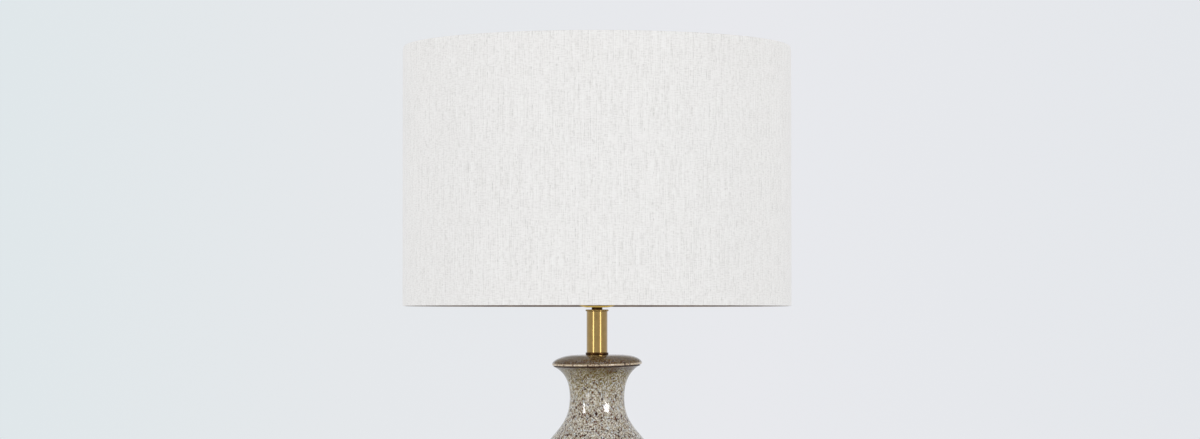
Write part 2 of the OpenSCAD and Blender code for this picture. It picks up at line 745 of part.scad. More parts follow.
module switch_knob() {
    y0 = shell_r + 1.8;
    color(black_colour) translate([0, -y0, switch_z]) rotate([90, 0, 0]) difference() {
        revolve([[switch_shaft_d/2, 0], [knob_d/2 - 2.4, 0], [knob_d/2 - 2, 2], [knob_d/2, 3.4],
            [knob_d/2, knob_l - 1.6], [knob_d/2 - 0.5, knob_l - 0.5], [knob_d/2 - 1.6, knob_l],
            [0, knob_l], [0, knob_l - 3], [switch_shaft_d/2, knob_l - 3]]);
        for (i = [0:knob_flutes - 1]) rotate([0, 0, 360*i/knob_flutes])
            translate([knob_d/2 + 0.3, 0, 4.4]) cylinder(d = 1.6, h = knob_l, $fn = 24);
    }
}

// Outline of the opal dome, moved in by d, from its edge to its crown
function dome_points(d) = let (r = bulb_d/2, z = bulb_top_z - r, edge = bulb_d/2 - 1.2)
    concat(curve([[edge, dome_z], [edge + 0.6, mix(dome_z, z, 0.4)], [r, mix(dome_z, z, 0.7)],
        [r, z]], 5, -d), [for (a = [10:10:90]) [(r - d)*cos(a), z + (r - d)*sin(a)]]);

module bulb_dome() {
    inside = dome_points(dome_wall);
    color(opal_colour) revolve(concat(dome_points(0),
        [for (i = [len(inside) - 1:-1:1]) inside[i]], [[inside[0][0], dome_z]]));
}

housing_curve = [[thread_d/2, bulb_cap_z], [thread_d/2 + 0.8, bulb_cap_z + 13],
    [bulb_d/2 - 3, dome_z - 16], [bulb_d/2 - 1.2, dome_z]];
stem_r = bulb_thread_r - thread_depth/2 - screw_sheet_t;

module bulb_housing() {
    inside = curve(housing_curve, 9, -housing_wall);
    board_r = bulb_d/2 - 6;
    color(opal_colour) revolve(concat([[stem_r - 1, bulb_cap_z - 6], [stem_r, bulb_cap_z - 6],
        [stem_r, bulb_cap_z]], curve(housing_curve, 10), [[board_r, dome_z],
        [board_r, dome_z - 1.6], [board_r - 2, dome_z - 1.6], [board_r - 2, inside[8][1]]],
        [for (i = [7:-1:1]) inside[i]], [[stem_r - 1, bulb_cap_z + 2]]));
}

module bulb_led_board() {
    board_r = bulb_d/2 - 6;
    color("#DADCD8") {
        translate([0, 0, dome_z - 1.6]) cylinder(r = board_r, h = 1.6);
        for (i = [0:9]) rotate([0, 0, 36*i]) translate([board_r*0.62 - 1.5, -1.5, dome_z - 0.5])
            cube([3, 3, 1.2]);
    }
}

module bulb_cap() {
    z0 = bulb_z + 5;
    z1 = bulb_cap_z - 1.8;
    r = thread_d/2;
    color("#B8B3A6") revolve(concat([[r - 5, z0 - 0.8], [r - 1.6, z0 - 0.3]],
        thread_points(bulb_thread_r, z0, z1), [[r, z1 + 0.5], [r, bulb_cap_z],
        [stem_r, bulb_cap_z]], back(thread_points(bulb_thread_r - screw_sheet_t, z0, z1)),
        [[r - 2, z0 + 0.1], [r - 5, z0 - 0.3]]));
}

module bulb_tip_insulator() {
    color(black_colour) revolve([[0, bulb_z + 1], [4, bulb_z + 1], [thread_d/2 - 5, bulb_z + 4.2],
        [thread_d/2 - 5, bulb_z + 5.6], [0, bulb_z + 5.6]]);
}

module bulb_tip_contact() {
    color(steel_colour) revolve([[0, bulb_z], [2.2, bulb_z], [3.4, bulb_z + 0.5], [3.8, bulb_z + 1],
        [0, bulb_z + 1]]);
}

// Linen tube with a hem folded in over each edge of the lining
module shade_fabric() {
    t = linen_t;
    color(linen_colour) revolve([[shade_r, shade_z], [shade_r, shade_top_z], [hem_r - t, shade_top_z],
        [hem_r - t, shade_top_z - hem_h], [hem_r, shade_top_z - hem_h], [hem_r, shade_top_z - t],
        [lining_r, shade_top_z - t], [lining_r, shade_z + t], [hem_r, shade_z + t],
        [hem_r, shade_z + hem_h], [hem_r - t, shade_z + hem_h], [hem_r - t, shade_z]]);
}

module shade_liner() {
    color("#F4F2EC") ring(2*lining_r, 2*hem_r, shade_z + linen_t, shade_h - 2*linen_t);
}

module ring_wire(z) {
    rotate_extrude() translate([ring_r, z]) circle(d = ring_wire_d, $fn = 32);
}

module shade_top_ring() {
    color(brass_colour) ring_wire(top_ring_z);
}

module shade_bottom_ring() {
    color(bronze_colour) ring_wire(bottom_ring_z);
}

// Piece of bent wire in the XZ plane, between two angles from +X
module wire_arc(x, z, r, from, to, d) {
    translate([x, 0, z]) rotate([90, 0, 0]) rotate([0, 0, from])
        rotate_extrude(angle = to - from) translate([r, 0]) circle(d = d, $fn = 32);
}

// Each arm drops from the top ring, bends and runs level to the hub
module spider_arms() {
    bend_x = ring_r - spider_bend_r;
    bend_z = spider_z + spider_bend_r;
    color(brass_colour) for (i = [0:spider_arm_count - 1])
        rotate([0, 0, 90 + 360*i/spider_arm_count]) difference() {
            union() {
                translate([ring_r, 0, bend_z])
                    cylinder(d = spider_wire_d, h = top_ring_z - bend_z, $fn = 32);
                wire_arc(bend_x, bend_z, spider_bend_r, -90, 0, spider_wire_d);
                translate([hub_d/4, 0, spider_z]) rotate([0, 90, 0])
                    cylinder(d = spider_wire_d, h = bend_x - hub_d/4, $fn = 32);
            }
            ring_wire(top_ring_z);
            translate([0, 0, hub_z - eps]) cylinder(d = hub_d, h = hub_t + 2*eps);
        }
}

module spider_hub() {
    color(brass_colour) ring(hub_d, hub_hole_d, hub_z, hub_t);
}

// Turned finial: foot, cove, ball and button, with a blind bore for the stud
module finial() {
    bore_r = stud_d/2 + stud_fit;
    foot_r = finial_foot_d/2;
    ball_r = finial_ball_d/2;
    ball_z = finial_h - 4 - ball_r;
    color(brass_colour) translate([0, 0, finial_z]) revolve(concat(
        [[bore_r, 0], [foot_r, 0], [foot_r, 1.4], [foot_r - 0.6, 2.2]],
        curve([[foot_r - 1.2, 2.2], [foot_r - 2, 2.6], [foot_r - 2.2, 3.6],
            [foot_r - 2.2, ball_z - ball_r*0.85]], 5, 0, 0.2),
        [for (a = [-55:10:75]) [ball_r*cos(a), ball_z + ball_r*sin(a)]],
        [[2.6, finial_h - 4 + 0.4], [3, finial_h - 2.4], [2.2, finial_h - 0.8], [0.9, finial_h],
        [0, finial_h], [0, finial_bore_h], [bore_r, finial_bore_h]]));
}

ceramic_body();
ceramic_foot();
foot_felt();
cord_bushing();
threaded_rod();
rubber_washer();
bottom_washer();
bottom_lock_washer();
bottom_nut();
seat_ring();
neck_tube();
neck_cap();
neck_collar();
harp_saddle();
harp_frame();
harp_seat();
ferrule_left();
ferrule_right();
socket_cap();
socket_set_screw();
socket_shell();
socket_liner();
socket_insulator();
screw_shell();
centre_contact();
terminal_screws();
switch_collar();
switch_shaft();
switch_knob();
bulb_dome();
bulb_housing();
bulb_led_board();
bulb_cap();
bulb_tip_insulator();
bulb_tip_contact();
shade_fabric();
shade_liner();
shade_top_ring();
shade_bottom_ring();
spider_arms();
spider_hub();
finial();
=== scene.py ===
"""Ceramic table lamp with a linen drum shade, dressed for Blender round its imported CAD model.

Lengths in the sections are millimetres, turned to metres where a mesh is made. The lamp stands on
z = 0, its axis is Z, and its front faces -Y.
"""

import math

import bmesh
import bpy
from mathutils import Matrix, Vector


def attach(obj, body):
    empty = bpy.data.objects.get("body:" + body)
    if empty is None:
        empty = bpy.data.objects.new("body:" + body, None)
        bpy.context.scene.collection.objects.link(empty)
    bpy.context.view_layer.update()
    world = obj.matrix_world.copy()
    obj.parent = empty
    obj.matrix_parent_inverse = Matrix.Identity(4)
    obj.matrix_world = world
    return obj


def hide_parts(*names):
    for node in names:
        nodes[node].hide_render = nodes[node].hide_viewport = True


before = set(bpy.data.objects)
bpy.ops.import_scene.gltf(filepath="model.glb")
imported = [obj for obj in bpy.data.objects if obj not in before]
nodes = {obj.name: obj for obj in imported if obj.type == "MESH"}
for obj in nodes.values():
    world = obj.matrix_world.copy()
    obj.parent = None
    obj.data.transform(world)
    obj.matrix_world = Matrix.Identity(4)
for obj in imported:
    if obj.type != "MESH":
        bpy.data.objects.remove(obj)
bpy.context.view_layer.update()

# CERAMIC BASE
# A thrown stoneware bottle: foot ring, round belly, narrow waist and a domed flange for the neck.
# It is turned from the same curves as the CAD piece, and the lip dips by up to 1.6 mm to the front
# and left, as a thrown rim does. A boolean cuts the cord inlet and its spot face.


def cubic(p, t):
    """Point on a cubic curve, and its way there."""
    a, b, c, d = (Vector(q) for q in p)
    s = 1 - t
    point = s**3 * a + 3 * s * s * t * b + 3 * s * t * t * c + t**3 * d
    return point, s * s * (b - a) + 2 * s * t * (c - b) + t * t * (d - c)


def curve(p, count, inset=0, first=0, last=1):
    """Points along a cubic that runs down the outside, moved in by inset."""
    points = []
    for i in range(count + 1):
        point, way = cubic(p, first + (last - first) * i / count)
        points.append(tuple(point + inset * Vector((way.y, -way.x)).normalized()))
    return points


def outline(corners, count=4):
    """Closed outline, in which a corner's third number is the radius that it is rounded to.

    A guard point beyond it, where a run has room, keeps that run flat in smooth shading.
    """
    room, guard = 3, 1.4
    points = []
    for i, corner in enumerate(corners):
        here = Vector(corner[:2])
        if len(corner) < 3:
            points.append(tuple(here))
            continue
        back = Vector(corners[i - 1][:2]) - here
        on = Vector(corners[(i + 1) % len(corners)][:2]) - here
        reach = min(corner[2] / math.tan(back.angle(on) / 2), back.length / 2, on.length / 2)
        a, b = here + back.normalized() * reach, here + on.normalized() * reach
        if back.length > room * reach:
            points.append(tuple(here + back.normalized() * guard * reach))
        for k in range(count + 1):
            t = k / count
            points.append(tuple((1 - t) ** 2 * a + 2 * t * (1 - t) * here + t * t * b))
        if on.length > room * reach:
            points.append(tuple(here + on.normalized() * guard * reach))
    return points


def solid(name, points, faces, finish, place=Matrix(), crease=32):
    """Closed mesh piece, from points in millimetres, with edges over crease degrees kept sharp."""
    mesh = bpy.data.meshes.new(name)
    mesh.from_pydata(points, [], faces)
    work = bmesh.new()
    work.from_mesh(mesh)
    bmesh.ops.remove_doubles(work, verts=work.verts, dist=1e-4)
    bmesh.ops.recalc_face_normals(work, faces=work.faces)
    work.to_mesh(mesh)
    work.free()
    mesh.transform(place @ Matrix.Scale(0.001, 4))
    mesh.materials.append(finish)
    piece = bpy.data.objects.new(name, mesh)
    bpy.context.scene.collection.objects.link(piece)
    smooth(piece, crease)
    return piece


def smooth(piece, crease=32):
    """Smooth shading, with edges over crease degrees kept sharp."""
    piece.data.shade_smooth()
    piece.data.set_sharp_from_angle(angle=math.radians(crease))


def lathe(name, corners, finish, steps=96, place=Matrix(), crease=32):
    """Solid turned about Z from a closed outline of (radius, height) in millimetres."""
    rim = outline(corners)
    n = len(rim)
    points, faces = [], []
    for i in range(steps):
        turn = 2 * math.pi * i / steps
        points += [(r * math.sin(turn), -r * math.cos(turn), z) for r, z in rim]
        j = (i + 1) % steps
        faces += [(i * n + k, j * n + k, j * n + (k + 1) % n, i * n + (k + 1) % n) for k in range(n)]
    return solid(name, points, faces, finish, place, crease)


def settle(piece):
    """Turn the piece's modifiers into plain mesh."""
    live = piece.evaluated_get(bpy.context.evaluated_depsgraph_get())
    mesh = bpy.data.meshes.new_from_object(live)
    piece.modifiers.clear()
    piece.data = mesh


def cut(piece, *cutters):
    """Cut the cutters out of the piece, and drop them."""
    finish = piece.data.materials[0]
    for cutter in cutters:
        work = piece.modifiers.new("Cut", "BOOLEAN")
        work.operation, work.solver, work.object = "DIFFERENCE", "EXACT", cutter
    settle(piece)
    for cutter in cutters:
        bpy.data.objects.remove(cutter)
    piece.data.materials.clear()
    piece.data.materials.append(finish)
    smooth(piece)


def belong(piece, body, finish_slot, *cad_nodes):
    """The piece rides on a body and stands for CAD nodes, which are hidden; finish_slot is not used."""
    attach(piece, body)
    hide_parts(*cad_nodes)


def colour(code):
    """Linear colour of an sRGB hex code."""
    parts = [int(code[i : i + 2], 16) / 255 for i in (1, 3, 5)]
    return [p / 12.92 if p <= 0.04045 else ((p + 0.055) / 1.055) ** 2.4 for p in parts] + [1]


def add(tree, kind, wires={}, values={}, stops=(), **settings):
    """Node with its settings, values, colour stops, and wires from nodes or sockets."""
    node = tree.nodes.new(kind)
    for key, value in settings.items():
        setattr(node, key, value)
    for key, value in values.items():
        node.inputs[key].default_value = value
    for key, source in wires.items():
        tree.links.new(source.outputs[0] if hasattr(source, "outputs") else source, node.inputs[key])
    for i, (place, code) in enumerate(stops):
        ramp = node.color_ramp.elements
        stop = ramp[i] if i < 2 else ramp.new(place)
        stop.position, stop.color = place, colour(code)
    return node


def material(name, values):
    """Material with its node tree and shader."""
    made = bpy.data.materials.new(name)
    made.use_nodes = True
    tree = made.node_tree
    shader = tree.nodes["Principled BSDF"]
    for key, value in values.items():
        shader.inputs[key].default_value = colour(value) if isinstance(value, str) else value
    return made, tree, shader


# Stoneware under a runny speckled glaze: stone grey low down, olive brown where it thins towards
# the top, and darkest brown under the rim and on the flange, which is partly painted shade from the
# lampshade above. It is pale on the lip, partly as a painted highlight, and burnt in the crease under
# it, darkened there also as painted shade. Milky and rusty mottling, 1 to 3 mm wide, drags downwards,
# and iron specks up to 1.5 mm wide have burnt through it. A Map Range reads the range in its sockets
# 1 and 2, and gives the one in 3 and 4.
glazed_stoneware, tree, shader = material("Glazed stoneware", {"Roughness": 0.2, "IOR": 1.52})
place = add(tree, "ShaderNodeTexCoord").outputs["Object"]
height = add(tree, "ShaderNodeSeparateXYZ", {0: place}).outputs["Z"]
drag = add(tree, "ShaderNodeMapping", {0: place}, {"Scale": (1, 1, 0.7)})
wander = add(tree, "ShaderNodeTexNoise", {0: drag}, {"Scale": 60, "Detail": 3})
cloud = add(tree, "ShaderNodeTexNoise", {0: drag}, {"Scale": 680, "Detail": 3, "Roughness": 0.75})
grain = add(tree, "ShaderNodeTexNoise", {0: drag}, {"Scale": 960, "Detail": 3, "Roughness": 0.75})
# The ground's tone goes by height, which wanders by up to 15 mm, and is pale on the thin edge of
# the lip, partly as a painted highlight.
shift = add(tree, "ShaderNodeMath", {0: wander}, {1: 0.03, 2: -0.015}, operation="MULTIPLY_ADD")
level = add(tree, "ShaderNodeMath", {0: height, 1: shift}, operation="ADD")
level = add(tree, "ShaderNodeMapRange", {0: level}, {1: 0.25, 2: 0.37})
# The stops from 0.8 up, the dark browns under the rim and on the flange, are partly painted shade.
ground = [(0, "#B8AE9C"), (1, "#583F08"), (0.35, "#B3A78F"), (0.58, "#9E9072"), (0.7, "#85753F")]
ground += [(0.8, "#6D5D14"), (0.86, "#4B3206"), (0.9, "#583D06")]
tone = add(tree, "ShaderNodeValToRGB", {0: level}, stops=ground)
# The lip's pale band is partly thin glaze and partly a painted highlight.
edge = add(tree, "ShaderNodeAttribute", attribute_name="thin_glaze_and_highlight").outputs["Fac"]
mottle = add(tree, "ShaderNodeMix", {0: edge, 6: tone}, {7: colour("#E8D2B2")}, data_type="RGBA")
# Milky patches, which thin out from the shoulder to the flange.
pale = add(tree, "ShaderNodeMapRange", {0: cloud}, {1: 0.486, 2: 0.522})
for low, high, share in ((0.36, 0.6, 0.72), (0.7, 0.86, 0.2)):
    thick = add(tree, "ShaderNodeMapRange", {0: level}, {1: low, 2: high, 3: 1.0, 4: share})
    pale = add(tree, "ShaderNodeMath", {0: pale, 1: thick}, operation="MULTIPLY")
hue = add(tree, "ShaderNodeTexNoise", {0: drag}, {"Scale": 340, "Detail": 2})
milky = add(tree, "ShaderNodeValToRGB", {0: hue}, stops=[(0.42, "#E6EFF4"), (0.58, "#F2ECE0")])
mottle = add(tree, "ShaderNodeMix", {0: pale, 6: mottle.outputs[2], 7: milky}, data_type="RGBA")
# Rusty grain, and two sizes of iron speck with ragged rims, all heavier low down.
shoulder_level, neck_level = 0.42, 0.62
low_down = add(
    tree, "ShaderNodeMapRange", {0: level}, {1: shoulder_level, 2: neck_level, 3: 0.95, 4: 0.66}
)
iron = add(tree, "ShaderNodeValToRGB", {0: hue}, stops=[(0.42, "#4E2208"), (0.58, "#5A480E")])
rusty = add(tree, "ShaderNodeMapRange", {0: grain}, {1: 0.52, 2: 0.55})
rusty = add(tree, "ShaderNodeMath", {0: rusty, 1: low_down}, operation="MULTIPLY")
mottle = add(tree, "ShaderNodeMix", {0: rusty, 6: mottle.outputs[2], 7: iron}, data_type="RGBA")
swollen = add(
    tree, "ShaderNodeMapRange", {0: level}, {1: shoulder_level, 2: neck_level, 3: 1.25, 4: 0.95}
)
nudge = add(tree, "ShaderNodeVectorMath", {0: grain.outputs["Color"]}, {3: 0.0014}, operation="SCALE")
speck_place = add(tree, "ShaderNodeVectorMath", {0: drag, 1: nudge}, operation="ADD")
for scale, kept_from, size, code in ((500, 0.35, 0.5, "#5A2606"), (340, 0.55, 0.44, "#331103")):
    specks = add(tree, "ShaderNodeTexVoronoi", {0: speck_place}, {"Scale": scale})
    kept = add(tree, "ShaderNodeSeparateColor", {0: specks.outputs["Color"]})
    reach = add(tree, "ShaderNodeMapRange", {0: kept}, {1: kept_from, 2: 1.0, 3: 0.0, 4: size})
    reach = add(tree, "ShaderNodeMath", {0: reach, 1: swollen}, operation="MULTIPLY")
    spot = add(tree, "ShaderNodeMath", {0: reach, 1: specks.outputs["Distance"]}, operation="SUBTRACT")
    spot = add(tree, "ShaderNodeMapRange", {0: spot}, {1: 0.0, 2: 0.06, 4: 0.95})
    mottle = add(tree, "ShaderNodeMix", {0: spot, 6: mottle.outputs[2]}, {7: colour(code)}, data_type="RGBA")
# The crease under the lip is burnt and dull, and its dark colour is also painted shade in the crease.
crease_burn_and_shade = add(tree, "ShaderNodeAttribute", attribute_name="glaze_break_and_shade").outputs["Fac"]
burnt_and_shaded = add(tree, "ShaderNodeValToRGB", {0: cloud}, stops=[(0.42, "#210A02"), (0.58, "#5A2708")])
mottle = add(tree, "ShaderNodeMix", {0: crease_burn_and_shade, 6: mottle.outputs[2], 7: burnt_and_shaded}, data_type="RGBA")
tree.links.new(mottle.outputs[2], shader.inputs["Base Color"])
gloss = add(tree, "ShaderNodeMapRange", {0: cloud}, {3: 0.04, 4: 0.14})
gloss = add(tree, "ShaderNodeMath", {0: crease_burn_and_shade, 2: gloss}, {1: 0.4}, operation="MULTIPLY_ADD")
tree.links.new(gloss.outputs[0], shader.inputs["Roughness"])
swell = add(tree, "ShaderNodeTexNoise", {0: drag}, {"Scale": 240, "Detail": 2})
skin = add(tree, "ShaderNodeMath", {0: swell, 1: wander}, operation="ADD")
skin = add(tree, "ShaderNodeBump", {"Height": skin}, {"Strength": 0.25, "Distance": 0.0005})
tree.links.new(skin.outputs[0], shader.inputs["Normal"])

seat, waist, belly, foot_ring, foot = 364, 319.5, 152, 6, 2
crease, rim = Vector((44.9, 353.2)), Vector((47.2, 355))
flange = [(24, seat), (33.05, seat), (44.6, 361.1), (46.85, 356.1)]
facet = [(46.85, 356.1), (47.05, 355.6), (47.2, 355.2), (47.2, 354.8)]
rolled_lip = [(47.2, 354.8), (47.2, 354.4), (46.9, 354), (46.4, 353.8)]
crease_under_lip = [(46.4, 353.8), (43.2, 353.65), (43.2, 352.8), (45.6, 352.6)]
underside = [(45.6, 352.6), (45.1, 352.4), (44.6, 352.2), (43.6, 351.6)]
flare = [(43.6, 351.6), (36.7, 347.2), (28.6, 339.72), (28.6, waist)]
throat = [(28.6, waist), (28.6, 293.82), (41, 287.29), (60, 262.8)]
shoulder = [(60, 262.8), (87.54, 227.26), (118, 191.89), (118, belly)]
lower_belly = [(118, belly), (118, 101), (96, 41), (68, foot_ring)]
heel = [(68, foot_ring), (66.7, 4.4), (66.4, foot), (64.5, foot)]
wall, floor_top, recess_top, rod_hole = 7, 32, 22, 6
stretches = [(flange, 26), (facet, 6), (rolled_lip, 8), (crease_under_lip, 10), (underside, 6)]
stretches += [(flare, 24), (throat, 24), (shoulder, 22), (lower_belly, 36)]
outside = [(10, seat), (18, seat)]
for stretch, count in stretches:
    outside += curve(stretch, count)[:-1]
outside += curve(heel, 6)
inside = curve(flare, 14, wall, 0.15) + curve(throat, 14, wall, 1 / 14)
inside += curve(shoulder, 14, wall, 1 / 14) + curve(lower_belly, 22, wall, 1 / 22, 0.82)
well = [(56, foot, 1.5), (55, 3, 1), (55, recess_top, 2), (rod_hole, recess_top)]
floor_corner = (inside[-1][0] - 5, floor_top)
cavity = [(rod_hole, floor_top), floor_corner, *reversed(inside), (rod_hole, inside[0][1])]
stoneware = lathe(
    "stoneware_base", [(rod_hole, seat), *outside, *well, *cavity], glazed_stoneware, 240, crease=50
)
inlet_height = 12
to_back = Matrix.Translation((0, 0, inlet_height / 1000)) @ Matrix.Rotation(-math.pi / 2, 4, "X")
inlet_cutter = [(0, 48), (5.5, 48), (5.5, 68), (7.7, 68), (7.7, 80), (0, 80)]
cut(stoneware, lathe("inlet_cutter", inlet_cutter, glazed_stoneware, 64, to_back))


def between(value, start, end):
    """Share of the way from start to end, from 0 to 1."""
    return min(max((value - start) / (end - start), 0), 1)


left_dip, front_dip = 0.9, 1.3
# The crease's dark colour: burnt glaze, and painted shade in the crease.
crease_burn_and_shade_layer = stoneware.data.attributes.new("glaze_break_and_shade", "FLOAT", "POINT")
# The lip's pale band: thin glaze, and a painted highlight.
thin_edge_and_highlight = stoneware.data.attributes.new("thin_glaze_and_highlight", "FLOAT", "POINT")
for vertex in stoneware.data.vertices:
    x, y, z = (1000 * value for value in vertex.co)
    r = math.hypot(x, y)
    for layer, most, middle, reach in ((crease_burn_and_shade_layer, 0.97, crease, 1.1), (thin_edge_and_highlight, 0.9, rim, 1)):
        away = (Vector((r, z)) - middle).length
        layer.data[vertex.index].value = most * math.exp(-((away / reach) ** 4))
    loose = between(r, 16, 38) * between(z, 334, 350)
    vertex.co.z += 0.001 * loose * (left_dip * x + front_dip * y) / rim.x
belong(stoneware, "base", "glaze", "ceramic_body", "ceramic_foot")

# FELT AND CORD INLET
# A die-cut ring of pressed wool felt is glued under the foot ring. A moulded rubber bushing lines
# the inlet at the back, where its flange sits in the spot face.


def grained(name, values, noise, stretch=(1, 1, 1), tones=(), gloss=(), bump=()):
    """Material whose colour, roughness and bump, where given, follow one noise on the piece.

    stretch scales its axes, gloss holds its two roughnesses, and bump its strength and its depth.
    """
    made, tree, shader = material(name, values)
    place = add(tree, "ShaderNodeTexCoord").outputs["Object"]
    place = add(tree, "ShaderNodeMapping", {0: place}, {"Scale": stretch})
    grain = add(tree, "ShaderNodeTexNoise", {0: place}, noise)
    if tones:
        tone = add(tree, "ShaderNodeValToRGB", {0: grain}, stops=tones)
        tree.links.new(tone.outputs[0], shader.inputs["Base Color"])
    if gloss:
        dull = add(tree, "ShaderNodeMapRange", {0: grain}, {3: gloss[0], 4: gloss[1]})
        tree.links.new(dull.outputs[0], shader.inputs["Roughness"])
    if bump:
        skin = add(tree, "ShaderNodeBump", {"Height": grain}, {"Strength": bump[0], "Distance": bump[1]})
        tree.links.new(skin.outputs[0], shader.inputs["Normal"])
    return made


# Pressed felt: matted fibres leave it dull, with a soft sheen at grazing angles. They are far finer
# than a pixel, and are drawn 0.4 mm wide.
pressed_felt = grained(
    "Pressed wool felt",
    {"Roughness": 0.95, "Sheen Weight": 0.4, "Sheen Roughness": 0.5},
    {"Scale": 2500, "Detail": 4, "Distortion": 1.5},
    tones=[(0.3, "#191816"), (0.7, "#35332F")],
    bump=(0.8, 0.0004),
)
felt_ring = [(56.5, 0, 0.5), (63.5, 0, 0.5), (63.5, foot, 0.2), (56.5, foot, 0.2)]
belong(lathe("felt_ring", felt_ring, pressed_felt, 160), "base", "felt", "foot_felt")

# Moulded black rubber: matt, with the spark-eroded grain of its mould, drawn 0.6 mm wide.
moulded_rubber = grained(
    "Moulded rubber",
    {"Base Color": "#1E1D1B", "IOR": 1.52},
    {"Scale": 1800, "Detail": 2},
    gloss=(0.5, 0.72),
    bump=(0.3, 0.0002),
)
bushing = [(3.75, 53.5, 0.4), (5.5, 53.5, 0.6), (5.5, 68), (7.5, 68), (7.5, 70, 0.9), (3.75, 70, 0.8)]
bushing = lathe("inlet_bushing", bushing, moulded_rubber, 64, to_back)
belong(bushing, "base", "black_rubber", "cord_bushing")

# ROD AND NUT
# A steel pipe with a 1/8 IP thread clamps the whole stack: nut, lock washer, steel washer and
# rubber washer under the floor, socket cap at the top. The thread is rolled to a 0.94 mm pitch
# where it shows, and Geometry Nodes wind it from a plain turned bar.
# Zinc-plated steel: pale grey, with a faint spangle 2 mm wide.
zinc_steel, tree, shader = material("Zinc plated steel", {"Metallic": 1.0})
place = add(tree, "ShaderNodeTexCoord").outputs["Object"]
spangle = add(tree, "ShaderNodeTexVoronoi", {0: place}, {"Scale": 450})
tone = add(tree, "ShaderNodeValToRGB", {0: spangle.outputs["Color"]}, stops=[(0, "#8F908E"), (1, "#B4B5B1")])
tree.links.new(tone.outputs[0], shader.inputs["Base Color"])
dull = add(tree, "ShaderNodeMapRange", {0: spangle.outputs["Distance"]}, {2: 0.7, 3: 0.3, 4: 0.44})
tree.links.new(dull.outputs[0], shader.inputs["Roughness"])


def rule(name, sizes):
    """Geometry Nodes tree with a geometry in and out and a named input for each size."""
    tree = bpy.data.node_groups.new(name, "GeometryNodeTree")
    tree.interface.new_socket("Geometry", in_out="OUTPUT", socket_type="NodeSocketGeometry")
    tree.interface.new_socket("Geometry", in_out="INPUT", socket_type="NodeSocketGeometry")
    for size, kind in {**sizes, "Material": "Material"}.items():
        tree.interface.new_socket(size, in_out="INPUT", socket_type="NodeSocket" + kind)
    return tree, add(tree, "NodeGroupInput").outputs


def end_rule(tree, shape):
    """Real geometry with the material, as the tree's result."""
    finish = next(node for node in tree.nodes if node.type == "GROUP_INPUT").outputs["Material"]
    real = add(tree, "GeometryNodeRealizeInstances", {0: shape})
    dressed = add(tree, "GeometryNodeSetMaterial", {"Geometry": real, "Material": finish})
    add(tree, "NodeGroupOutput", {0: dressed})


def shape_by(piece, tree, sizes, crease=32):
    """Shape the piece by a rule with these sizes."""
    sizes = {**sizes, "Material": piece.data.materials[0]}
    live = piece.modifiers.new(tree.name, "NODES")
    live.node_group = tree
    for socket in tree.interface.items_tree:
        if socket.in_out == "INPUT" and socket.name in sizes:
            live[socket.identifier] = sizes[socket.name]
    settle(piece)
    smooth(piece, crease)
    return piece


# Winds a rolled thread: points between two heights, outside a bore, move in and out along a helix.
winding, given = rule(
    "Rolled thread",
    {"Pitch": "Float", "Depth": "Float", "Bottom": "Float", "Top": "Float", "Bore radius": "Float"},
)
spot = add(winding, "GeometryNodeInputPosition")
axes = add(winding, "ShaderNodeSeparateXYZ", {0: spot}).outputs
turn = add(winding, "ShaderNodeMath", {0: axes[1], 1: axes[0]}, operation="ARCTAN2")
run = add(winding, "ShaderNodeMath", {0: axes[2], 1: given["Pitch"]}, operation="DIVIDE")
phase = add(winding, "ShaderNodeMath", {0: run, 2: turn}, {1: -2 * math.pi}, operation="MULTIPLY_ADD")
wave = add(winding, "ShaderNodeMath", {0: phase}, operation="COSINE")
half = add(winding, "ShaderNodeMath", {0: given["Depth"]}, {1: 0.5}, operation="MULTIPLY")
fade = add(winding, "ShaderNodeMath", {0: given["Pitch"]}, {1: 0.6}, operation="MULTIPLY")
low_end = add(winding, "ShaderNodeMath", {0: given["Bottom"], 1: fade}, operation="ADD")
rise = add(winding, "ShaderNodeMapRange", {0: axes[2], 1: given["Bottom"], 2: low_end})
high_end = add(winding, "ShaderNodeMath", {0: given["Top"], 1: fade}, operation="SUBTRACT")
drop = add(winding, "ShaderNodeMapRange", {0: axes[2], 1: given["Top"], 2: high_end})
flat = add(winding, "ShaderNodeVectorMath", {0: spot}, {1: (1, 1, 0)}, operation="MULTIPLY")
across = add(winding, "ShaderNodeVectorMath", {0: flat}, operation="LENGTH").outputs["Value"]
outer = add(winding, "FunctionNodeCompare", {0: across, 1: given["Bore radius"]}, operation="GREATER_THAN")
lift = wave
for share in (half, rise, drop):
    lift = add(winding, "ShaderNodeMath", {0: lift, 1: share}, operation="MULTIPLY")
way = add(winding, "ShaderNodeVectorMath", {0: flat}, operation="NORMALIZE")
move = add(winding, "ShaderNodeVectorMath", {0: way, "Scale": lift}, operation="SCALE")
wound = add(
    winding, "GeometryNodeSetPosition", {"Geometry": given["Geometry"], "Selection": outer, "Offset": move}
)
end_rule(winding, wound)


def bar_rows(r, bottom, top, pitch, rows=10):
    """Rows of points up a bar, close enough for its thread."""
    count = math.ceil(rows * (top - bottom) / pitch)
    return [(r, bottom + (top - bottom) * i / count) for i in range(count + 1)]


def wind(piece, pitch, depth, bottom, top, bore):
    """Wind a rolled thread into the piece, with sizes in millimetres."""
    sizes = {"Pitch": pitch, "Depth": depth, "Bottom": bottom, "Top": top, "Bore radius": bore}
    return shape_by(piece, winding, {key: value / 1000 for key, value in sizes.items()}, 60)


